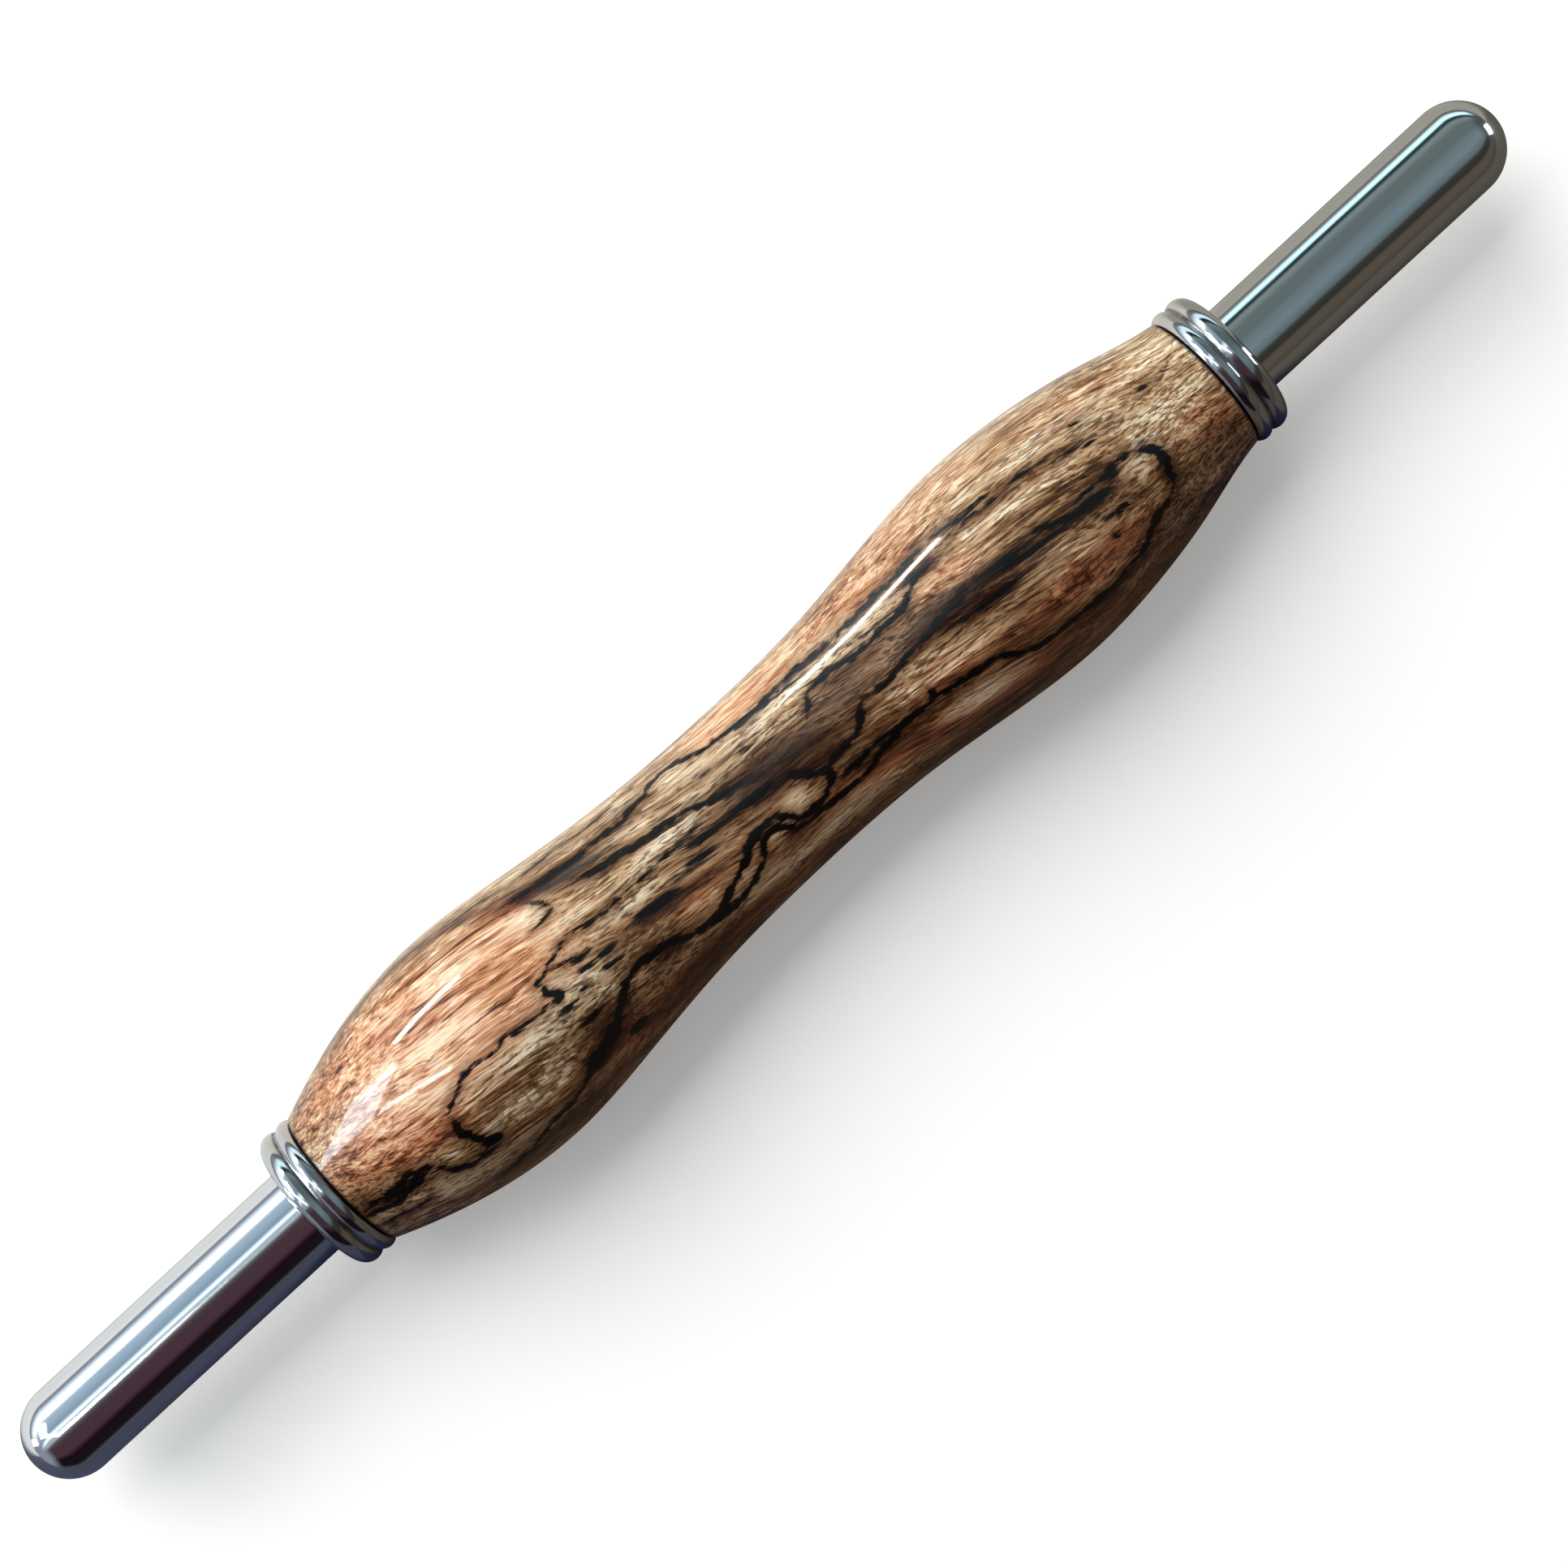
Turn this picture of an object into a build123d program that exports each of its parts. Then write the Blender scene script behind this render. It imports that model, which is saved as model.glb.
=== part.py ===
from build123d import *
import math
import os

# A double-ended clay modelling tool: a turned wooden handle with a reversible round-nosed insert
# at each end. Every piece is turned, so each one is an outline revolved about the X axis.
# +X runs along the tool towards the stylus end and +Z is up. The origin is on the axis, halfway
# between the two noses. All sizes are in millimetres.

# ---- Driving dimensions --------------------------------------------------------------
OVERALL_LENGTH = 158.7          # nose to nose, as the tool is put away
HANDLE_LENGTH = 93.6            # the wood, end face to end face
HOME_EXPOSURE = 28.0            # how far an insert stands out when it is pushed fully home
NEEDLE_PULLED_OUT = 2.2         # the needle insert rests this far short of home

# Handle: the turned outline as (distance along X, radius), from the needle end to the stylus end
HANDLE_OUTLINE = [
    (-41.6, 7.95), (-35.2, 9.54), (-28.6, 10.04), (-20.8, 9.26), (-11.7, 8.15),
    (-0.3, 7.68), (11.7, 8.11), (20.4, 9.22), (27.6, 9.72), (34.4, 9.19), (41.2, 7.89),
    (45.2, 6.82),
]
NEEDLE_END_RADIUS = 6.52        # of the wood, where it meets each ferrule
STYLUS_END_RADIUS = 6.30
EDGE_BREAK = 0.15               # small chamfer on the wood's end corners
GLUE_GAP = 0.05                 # round the liner tube

# Liner tube: a 10 mm brass tube glued through the whole handle
TUBE_RADIUS = 5.0
TUBE_BORE_RADIUS = 4.7

# Ferrule ring: two beads, the outer one fatter
INNER_BEAD_RADIUS = 0.85
OUTER_BEAD_RADIUS = 1.10
FERRULE_RADIUS = 6.63           # over the beads
BEAD_OVERLAP = 0.45             # how far the two beads run into each other
COVE_RADIUS = 0.22              # fillet in the valley between them
MOUTH_LIP = 0.95                # the lip that keeps the O-ring in
MOUTH_CLEARANCE = 0.1           # round the insert
MOUTH_CHAMFER = 0.2

# Guide bush: pressed into the liner tube, its flange held under the ferrule ring
FLANGE_RADIUS = 5.6
FLANGE_THICKNESS = 0.8
BUSH_BORE_RADIUS = 4.05
SHOULDER_RADIUS = 3.4           # the lip inside that stops the insert
SHOULDER_THICKNESS = 1.0
SHOULDER_GAP = 0.05             # left under an insert that is home

# O-ring: grips the insert
O_RING_SECTION = 0.65
O_RING_BORE_RADIUS = 4.02
GLAND_CLEARANCE = 0.04

# Insert: a round-nosed rod with a tip held in its other end
ROD_RADIUS = 4.0
ROD_LENGTH = 43.0
ROD_CHAMFER = 0.3
SOCKET_RADIUS = 2.5
SOCKET_DEPTH = 9.0
COLLAR_RADIUS = 3.2
COLLAR_NOSE_RADIUS = 1.6
COLLAR_LENGTH = 7.0             # from the rod's inner end to the collar's nose
COLLAR_FLANGE = 0.8             # the full-width rim against the rod
COLLAR_WAIST = 0.35             # how far the cone sinks below a straight one, at its middle
COLLAR_PLUG = 8.0               # in the rod's socket
TIP_RADIUS = 0.8                # of the needle and of the stylus shank
TIP_SEAT = 10.0                 # how deep a tip is held in its collar
NEEDLE_REACH = 22.0             # beyond the collar
NEEDLE_TAPER = 14.0
NEEDLE_POINT_RADIUS = 0.12
BALL_RADIUS = 1.75
BALL_REACH = 18.5               # collar to the ball's centre
NECK_RADIUS = 0.55
NECK_LENGTH = 4.0

# ---- Worked-out places ---------------------------------------------------------------
NOSE = OVERALL_LENGTH / 2
FERRULE_LENGTH = 2 * (INNER_BEAD_RADIUS + OUTER_BEAD_RADIUS) - BEAD_OVERLAP
STYLUS_FACE = NOSE - HOME_EXPOSURE - FERRULE_LENGTH
NEEDLE_FACE = STYLUS_FACE - HANDLE_LENGTH
HOME_SEAT = FERRULE_LENGTH + HOME_EXPOSURE - ROD_LENGTH   # rod's inner end, from the wood's face


# ---- Turning helpers -----------------------------------------------------------------
def turned(*lines):
    """The solid that a closed outline of lines in the XY plane makes when turned about X."""
    return revolve(make_face([edge for line in lines for edge in line.edges()]), axis=Axis.X)


def turned_points(*points):
    """The same for an outline of straight runs."""
    return turned(Polyline(*points, close=True))


def arc_end(centre, radius, degrees):
    """The point on a circle at that angle from +X."""
    a = math.radians(degrees)
    return centre[0] + radius * math.cos(a), centre[1] + radius * math.sin(a)


# ---- Handle --------------------------------------------------------------------------
def handle_body():
    """The barrel: a smooth outline with two swells and a waist, bored through for the tube."""
    left, right = NEEDLE_FACE, STYLUS_FACE
    bore = TUBE_RADIUS + GLUE_GAP
    start = (left + EDGE_BREAK, NEEDLE_END_RADIUS)
    end = (right - EDGE_BREAK, STYLUS_END_RADIUS)
    return turned(
        Spline(start, *HANDLE_OUTLINE, end),
        Polyline(
            end, (right, STYLUS_END_RADIUS - EDGE_BREAK), (right, bore),
            (left, bore), (left, NEEDLE_END_RADIUS - EDGE_BREAK), start,
        ),
    )


def liner_tube():
    """A plain brass tube, glued in from end to end of the handle."""
    return turned_points(
        (NEEDLE_FACE, TUBE_BORE_RADIUS), (STYLUS_FACE, TUBE_BORE_RADIUS),
        (STYLUS_FACE, TUBE_RADIUS), (NEEDLE_FACE, TUBE_RADIUS),
    )


# ---- End fittings: X runs outwards from the wood's end face ----------------------------
def guide_bush():
    """Flange on the end of the handle, shank in the tube, and a lip inside that stops the rod."""
    stop = HOME_SEAT - SHOULDER_GAP
    inner = stop - SHOULDER_THICKNESS
    return turned_points(
        (inner, SHOULDER_RADIUS), (stop, SHOULDER_RADIUS), (stop, BUSH_BORE_RADIUS),
        (FLANGE_THICKNESS, BUSH_BORE_RADIUS), (FLANGE_THICKNESS, FLANGE_RADIUS),
        (0, FLANGE_RADIUS), (0, TUBE_BORE_RADIUS), (inner, TUBE_BORE_RADIUS),
    )


def ferrule_ring():
    """Two beads side by side outside; inside, a seat for the bush's flange and a gland for the O-ring."""
    inner_bead = (INNER_BEAD_RADIUS, FERRULE_RADIUS - INNER_BEAD_RADIUS)
    outer_bead = (FERRULE_LENGTH - OUTER_BEAD_RADIUS, FERRULE_RADIUS - OUTER_BEAD_RADIUS)
    # the cove's centre is where circles of bead radius plus cove radius about both beads cross
    near, far = INNER_BEAD_RADIUS + COVE_RADIUS, OUTER_BEAD_RADIUS + COVE_RADIUS
    dx, dy = outer_bead[0] - inner_bead[0], outer_bead[1] - inner_bead[1]
    gap = math.hypot(dx, dy)
    along = (near**2 - far**2 + gap**2) / (2 * gap)
    up = math.sqrt(near**2 - along**2)
    cove = (
        inner_bead[0] + along * dx / gap - up * dy / gap,
        inner_bead[1] + along * dy / gap + up * dx / gap,
    )
    to_cove = math.degrees(math.atan2(cove[1] - inner_bead[1], cove[0] - inner_bead[0]))
    from_cove = math.degrees(math.atan2(cove[1] - outer_bead[1], cove[0] - outer_bead[0]))
    back = (0, inner_bead[1])
    touch_in = arc_end(inner_bead, INNER_BEAD_RADIUS, to_cove)
    touch_out = arc_end(outer_bead, OUTER_BEAD_RADIUS, from_cove)
    front = (FERRULE_LENGTH, outer_bead[1])
    gland_radius = O_RING_BORE_RADIUS + 2 * O_RING_SECTION + GLAND_CLEARANCE
    gland_end = FERRULE_LENGTH - MOUTH_LIP
    mouth = ROD_RADIUS + MOUTH_CLEARANCE
    return turned(
        ThreePointArc(back, arc_end(inner_bead, INNER_BEAD_RADIUS, 115), touch_in),
        ThreePointArc(touch_in, (cove[0], cove[1] - COVE_RADIUS), touch_out),
        ThreePointArc(touch_out, arc_end(outer_bead, OUTER_BEAD_RADIUS, 60), front),
        Polyline(
            front, (FERRULE_LENGTH, mouth + MOUTH_CHAMFER), (FERRULE_LENGTH - MOUTH_CHAMFER, mouth),
            (gland_end, mouth), (gland_end, gland_radius), (FLANGE_THICKNESS, gland_radius),
            (FLANGE_THICKNESS, FLANGE_RADIUS), (0, FLANGE_RADIUS), back,
        ),
    )


def o_ring():
    """Sits in the gland between the bush's flange and the ferrule's lip."""
    middle = (FLANGE_THICKNESS + FERRULE_LENGTH - MOUTH_LIP) / 2
    section = Pos(middle, O_RING_BORE_RADIUS + O_RING_SECTION) * Circle(O_RING_SECTION)
    return revolve(section, axis=Axis.X)


# ---- Inserts: X runs from the rod's inner end towards its nose --------------------------
def rod():
    """A round-nosed rod, bored at its inner end for a collar."""
    shoulder = ROD_LENGTH - ROD_RADIUS
    nose_middle = arc_end((shoulder, 0), ROD_RADIUS, 45)
    return turned(
        Polyline(
            (SOCKET_DEPTH, 0), (SOCKET_DEPTH, SOCKET_RADIUS), (0, SOCKET_RADIUS),
            (0, ROD_RADIUS - ROD_CHAMFER), (ROD_CHAMFER, ROD_RADIUS), (shoulder, ROD_RADIUS),
        ),
        ThreePointArc((shoulder, ROD_RADIUS), nose_middle, (ROD_LENGTH, 0)),
        Line((ROD_LENGTH, 0), (SOCKET_DEPTH, 0)),
    )


def tip_collar():
    """A plug pressed into the rod, and a waisted cone that leads down to the tip it holds."""
    cone_middle = (
        -(COLLAR_FLANGE + COLLAR_LENGTH) / 2, (COLLAR_RADIUS + COLLAR_NOSE_RADIUS) / 2 - COLLAR_WAIST,
    )
    return turned(
        Polyline(
            (-COLLAR_LENGTH, COLLAR_NOSE_RADIUS), (-COLLAR_LENGTH, TIP_RADIUS),
            (TIP_SEAT - COLLAR_LENGTH, TIP_RADIUS), (TIP_SEAT - COLLAR_LENGTH, 0),
            (COLLAR_PLUG, 0), (COLLAR_PLUG, SOCKET_RADIUS), (0, SOCKET_RADIUS),
            (0, COLLAR_RADIUS), (-COLLAR_FLANGE, COLLAR_RADIUS),
        ),
        ThreePointArc(
            (-COLLAR_FLANGE, COLLAR_RADIUS), cone_middle, (-COLLAR_LENGTH, COLLAR_NOSE_RADIUS),
        ),
    )


def needle():
    """A straight shank that tapers to a blunted point."""
    seat = TIP_SEAT - COLLAR_LENGTH
    point = -(COLLAR_LENGTH + NEEDLE_REACH)
    tip_centre = (point + NEEDLE_POINT_RADIUS, 0)
    tip_start = (tip_centre[0], NEEDLE_POINT_RADIUS)
    return turned(
        Polyline((seat, 0), (seat, TIP_RADIUS), (point + NEEDLE_TAPER, TIP_RADIUS), tip_start),
        ThreePointArc(tip_start, arc_end(tip_centre, NEEDLE_POINT_RADIUS, 135), (point, 0)),
        Line((point, 0), (seat, 0)),
    )


def ball_stylus():
    """A shank necked down behind a polished ball."""
    seat = TIP_SEAT - COLLAR_LENGTH
    centre = (-(COLLAR_LENGTH + BALL_REACH), 0)
    # where the neck runs into the ball
    neck_degrees = math.degrees(math.asin(NECK_RADIUS / BALL_RADIUS))
    neck = arc_end(centre, BALL_RADIUS, neck_degrees)
    return turned(
        Polyline(
            (seat, 0), (seat, TIP_RADIUS), (centre[0] + BALL_RADIUS + NECK_LENGTH, TIP_RADIUS), neck,
        ),
        ThreePointArc(neck, arc_end(centre, BALL_RADIUS, 100), (centre[0] - BALL_RADIUS, 0)),
        Line((centre[0] - BALL_RADIUS, 0), (seat, 0)),
    )


# ---- Assembly ------------------------------------------------------------------------
def main():
    """Places every piece on the axis and writes each one to its own file."""
    stylus_end = Pos(STYLUS_FACE, 0, 0)
    needle_end = Pos(NEEDLE_FACE, 0, 0) * Rot(0, 0, 180)
    parts = {"handle_body": handle_body(), "liner_tube": liner_tube()}
    ends = {
        "needle": (needle_end, NEEDLE_PULLED_OUT, "needle", needle),
        "stylus": (stylus_end, 0, "ball_stylus", ball_stylus),
    }
    for end, (place, pulled_out, tip_name, tip) in ends.items():
        parts[f"{end}_end_guide_bush"] = place * guide_bush()
        parts[f"{end}_end_ferrule_ring"] = place * ferrule_ring()
        parts[f"{end}_end_o_ring"] = place * o_ring()
        insert = place * Pos(HOME_SEAT + pulled_out, 0, 0)
        parts[f"{end}_insert_rod"] = insert * rod()
        parts[f"{end}_insert_collar"] = insert * tip_collar()
        parts[tip_name] = insert * tip()
    os.makedirs("parts", exist_ok=True)
    for name, shape in parts.items():
        export_step(shape, f"parts/{name}.step")


if __name__ == "__main__":
    main()
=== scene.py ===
"""Looks for a double-ended clay modelling tool.

A turned handle of spalted wood under a gloss finish has a beaded chrome ferrule at each end.
A round-nosed chrome insert stands out of each ferrule, and a needle and a ball stylus sit on
the inner ends of the inserts. Everything is in metres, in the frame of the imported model:
+X along the tool towards the stylus end, +Z up.
"""

import math

import bpy
import numpy as np
from mathutils import Matrix, Vector


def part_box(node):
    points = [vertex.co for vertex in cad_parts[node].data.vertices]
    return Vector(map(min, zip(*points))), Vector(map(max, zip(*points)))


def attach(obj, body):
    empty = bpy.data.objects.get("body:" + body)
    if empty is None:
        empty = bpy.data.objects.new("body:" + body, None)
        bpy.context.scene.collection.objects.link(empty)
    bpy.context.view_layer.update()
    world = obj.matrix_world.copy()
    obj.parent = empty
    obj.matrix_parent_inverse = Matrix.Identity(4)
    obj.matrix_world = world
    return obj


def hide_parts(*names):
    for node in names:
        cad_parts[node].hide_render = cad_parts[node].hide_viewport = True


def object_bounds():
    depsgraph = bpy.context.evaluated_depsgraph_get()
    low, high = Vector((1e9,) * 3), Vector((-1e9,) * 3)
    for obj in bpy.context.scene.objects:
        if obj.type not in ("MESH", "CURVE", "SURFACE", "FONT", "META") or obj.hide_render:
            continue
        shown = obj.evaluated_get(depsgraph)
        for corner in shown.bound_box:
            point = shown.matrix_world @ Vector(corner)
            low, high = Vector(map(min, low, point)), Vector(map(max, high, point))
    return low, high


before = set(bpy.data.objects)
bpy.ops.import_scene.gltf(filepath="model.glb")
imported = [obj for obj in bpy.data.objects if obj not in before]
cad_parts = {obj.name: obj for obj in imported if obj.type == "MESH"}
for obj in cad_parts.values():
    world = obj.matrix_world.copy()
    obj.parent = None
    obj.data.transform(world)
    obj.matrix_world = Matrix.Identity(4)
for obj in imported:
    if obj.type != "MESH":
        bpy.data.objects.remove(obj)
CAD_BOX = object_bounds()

bl_info = {
    "name": "Clay Modelling Tool",
    "version": (1, 0, 0),
    "blender": (4, 5, 0),
    "location": "View3D > Sidebar > Clay Tool",
    "description": "Builds the handle, ferrules, inserts and studio of a double-ended clay modelling tool",
    "category": "Object",
}

MM = 0.001
SAME_POINT = 1e-7           # metres, within which two points of an outline are one
SHARP_EDGE = 32             # degrees, past which an edge is shaded sharp
BATCH = 4000                # surface points measured against a line at one go
FERRULE_COLUMNS = 240       # points round a ferrule, whose beads need more than the rest
SMALL_COLUMNS = 96          # points round an O-ring, collar or tip


# ---- Places and sizes that the frame gives ------------------------------------------------
def reach(node):
    """A turned node's lowest and highest distance along X, and its radius."""
    low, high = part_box(node)
    return low.x, high.x, high.z


HANDLE_START, HANDLE_END, HANDLE_RADIUS = reach("handle_body")
ROD_RADIUS = reach("stylus_insert_rod")[2]
ENDS = {"needle": -1, "stylus": 1}              # which way each end points along X

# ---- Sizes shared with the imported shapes, in metres ---------------------------------------
BORE_GAP = 0.05 * MM                            # handle's bore round the liner tube
MOUTH_GAP = 0.1 * MM                            # ferrule's mouth round the rod
MOUTH_EASE = 0.2 * MM                           # rounding of the mouth's edge
LIP_THICKNESS = 0.95 * MM                       # ferrule's metal in front of the O-ring's gland
GLAND_GAP = 0.02 * MM                           # gland round the O-ring
FLANGE_RADIUS, FLANGE_DEPTH = 5.6 * MM, 0.8 * MM    # seat of the guide bush's flange
COVE = 0.22 * MM                                # hollow between a ferrule's two beads
SOCKET_RADIUS, SOCKET_DEPTH = 2.5 * MM, 9 * MM  # hole in a rod's inner end, and the collar's plug
ROD_EASE = 0.3 * MM                             # rounding of a rod's inner edge
COLLAR_LENGTH, COLLAR_FLANGE = 7 * MM, 0.8 * MM     # collar outside the rod, and its flange
COLLAR_NOSE, COLLAR_WAIST = 1.6 * MM, 0.35 * MM     # radius of its nose, and how deep it is waisted
TIP_SOCKET_RADIUS, TIP_SOCKET_DEPTH = 0.8 * MM, 10 * MM     # hole in the collar, and a tip's shank
NEEDLE_BLUNT, NEEDLE_TAPER = 0.12 * MM, 14 * MM     # radius of the point, and length of the taper
STYLUS_NECK, STYLUS_TAPER = 0.55 * MM, 4 * MM   # radius behind the ball, and length of the taper


# ---- The figure in the wood --------------------------------------------------------------
# Places on the handle's surface are (mm along the tool, degrees round from the top towards +Y).
# Zone lines: thin black walls between the fungus colonies, and one soft line of painted shade along the
# upper edge, as (half width in mm, places).
ZONE_AND_SHADE_LINES = [
    # the jagged wall of the pale colony near the needle end
    (0.17, [(-34.9, -12), (-34, -9), (-33, -6), (-31.6, -3), (-30, -3.4), (-28.7, -5), (-27.7, -3),
            (-26.5, -4.6), (-24.3, -6), (-22.7, -6.6)]),
    (0.30, [(-23.4, -6.4), (-22.6, -7.2), (-22.3, -5.4), (-22.9, -2), (-22.7, 2), (-23, 4.6), (-22, 6.2)]),
    (0.15, [(-22, 6), (-21, 8.6), (-20, 10.8), (-18.8, 12.8), (-17.4, 11), (-15, 9.4), (-12.3, 10),
            (-10, 9.6), (-7, 9.8), (-4.5, 9)]),
    (0.16, [(-21.4, 5.8), (-20.3, 3.4), (-19.3, 0.6), (-18, 0)]),
    (0.30, [(-35, -12), (-34.9, -17.8), (-35.2, -22), (-34.9, -25.6), (-34.6, -30), (-34.2, -35),
            (-35, -39.6)]),
    (0.26, [(-33.4, -41), (-36, -41), (-37, -39.4), (-37.9, -35.6), (-38.3, -31), (-38.8, -27.8),
            (-39.6, -25.4), (-40.6, -23), (-41.5, -25.6), (-42.7, -27), (-44.3, -26.6), (-45.4, -29.4)]),
    (0.34, [(-45.6, -32.6), (-44, -34.2), (-42.8, -35.6), (-41.7, -32.2), (-40.5, -29.6), (-39.2, -28.4)]),
    (0.20, [(-45.6, -45), (-43.8, -46), (-42.2, -46.6), (-40.6, -45)]),
    # the long wavering wall along the lower side
    (0.22, [(-36, -63), (-32.6, -58.6), (-31, -55), (-29.3, -52), (-26.8, -51), (-25.3, -48),
            (-23.7, -44)]),
    (0.62, [(-25, -46), (-23.6, -43.6), (-22.4, -42), (-21.2, -39.5), (-20, -36)]),
    (0.32, [(-20.8, -37.8), (-19.7, -33.3), (-18.7, -28), (-17.3, -24.4), (-16, -23), (-15, -25),
            (-13.7, -26.8), (-12.8, -29.4), (-12, -33.3), (-10.7, -36), (-9.3, -37), (-8.3, -35),
            (-7.2, -31), (-6, -27.8), (-4.8, -24), (-4, -19.6), (-3.2, -17), (-2, -15.8), (-0.8, -16.8),
            (-0.2, -20), (0.3, -25), (1, -28.4), (2.2, -30)]),
    (0.16, [(-13.8, -27), (-13.4, -21.8)]),
    (0.27, [(-10.6, -38.4), (-8.8, -41), (-7.3, -41.4), (-6, -39), (-4.8, -36), (-3.8, -32.8),
            (-3.2, -27.8), (-2.8, -23.4), (-2, -21.6), (-1.2, -22.8), (-0.5, -26.7), (0, -31),
            (1.2, -33.6), (2.4, -34.4), (4.2, -35), (5.7, -36), (7, -35.4), (7.8, -33.4), (8.7, -31),
            (10, -29.4), (11.4, -28)]),
    # the eye, and the two walls that leave it towards the stylus end
    (0.33, [(1.4, -2.6), (2.5, -5.4), (3.3, -10), (4, -14), (4.7, -17), (4.6, -22), (3.8, -26.6),
            (2.8, -29), (1.6, -29.6), (0.8, -27.4)]),
    (0.30, [(4.6, -16.6), (5.8, -14.6), (7, -13.8), (8.2, -12.6), (9, -9.4), (9.7, -4.6), (10.4, -0.8)]),
    (0.22, [(10.2, -0.8), (11.7, -1.6), (13, -2), (14.5, -0.6), (16, 1), (17.7, 1.8), (20, 3.2),
            (22, 3.4)]),
    (0.26, [(5, -27.2), (7, -25.8), (9.3, -25.2), (11.7, -26.6), (13.8, -26.8), (15, -26.4), (15.8, -27.8),
            (17.5, -29.4), (20, -30.8), (21, -33.4), (21.8, -37.2), (23, -40.8), (24.6, -42.8),
            (26.3, -42.6), (28.8, -44.4), (31, -45.6), (33, -44), (34.7, -43.6), (35.7, -40),
            (36.8, -36), (38.3, -35), (39.7, -31)]),
    (0.36, [(35.4, -40.6), (36.8, -36.2), (38.2, -35)]),
    (0.24, [(14.8, -26.4), (14.7, -21.8)]),
    (0.38, [(39.6, -31.4), (40, -27), (39.9, -23), (40.3, -18), (40.3, -11), (39.8, -5.6), (39.1, -2.2)]),
    (0.22, [(39.2, -2.4), (38, 0), (37, 0.7), (35.7, -0.5), (34, 0), (32.4, -0.4)]),
    (0.24, [(28.2, 3.4), (29.3, 1.8), (30.3, -0.6), (31.7, -3.8), (33, -4.6)]),
    # the upper wall
    (0.30, [(-20.6, 48.4), (-18.6, 47.6), (-17, 47.4), (-15, 45.4), (-13, 46.4), (-10.8, 45.6),
            (-9.2, 44)]),
    (0.26, [(-9.9, 44.8), (-9.4, 47.4), (-8.6, 49), (-7.2, 50.4), (-6.3, 54.2), (-5, 56), (-3.8, 54.4),
            (-3, 50.6), (-1.3, 46), (0.3, 43.8), (2, 42.2), (4.2, 41), (6.2, 42), (8.3, 41), (10.3, 39),
            (12.3, 37.6), (14.7, 37), (17, 36.2), (19.2, 35.6), (21.7, 35.8)]),
    (0.15, [(1.6, 39.6), (4.2, 39), (6.2, 37.8), (7.8, 35)]),
    (0.24, [(-15.4, 33.6), (-13.2, 29.8), (-12, 28), (-10.2, 26.6), (-8, 24.6), (-5.6, 22), (-4.6, 18.4),
            (-3, 14.8), (-1.4, 11.4), (0.6, 8.6)]),
    (0.18, [(6.2, 13), (6.8, 17), (7.2, 20), (7.4, 23.4), (8.1, 25.6)]),
    (0.26, [(7.6, 25), (9.3, 25), (10.7, 23.4), (12, 21), (14.2, 20), (16.7, 20), (18, 21), (18.8, 23.4),
            (20, 26.4), (21.3, 28.4)]),
    (0.12, [(11.8, 30), (12.8, 27.2), (14.2, 24.6), (16.4, 22.6)]),
    (0.14, [(-19.8, 42), (-19, 38), (-18.4, 33), (-18.2, 29.6), (-19.4, 27.2), (-20.6, 26)]),
    # painted shade: a soft dark line along the upper edge, drawn like a zone line
    (0.15, [(-39, 76), (-36, 73), (-32, 71.4), (-28, 68.4), (-25, 66), (-22.4, 65.4), (-20, 62.6),
            (-17.4, 62.6), (-15.4, 65), (-12.6, 62.4), (-10.2, 63.6)]),
    (0.16, [(23, 36), (24.4, 33.4), (25.6, 31.8), (27.4, 32), (29, 30)]),
    (0.13, [(24, 29.8), (26, 29), (27.8, 26.8), (29.6, 26)]),
]
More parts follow.
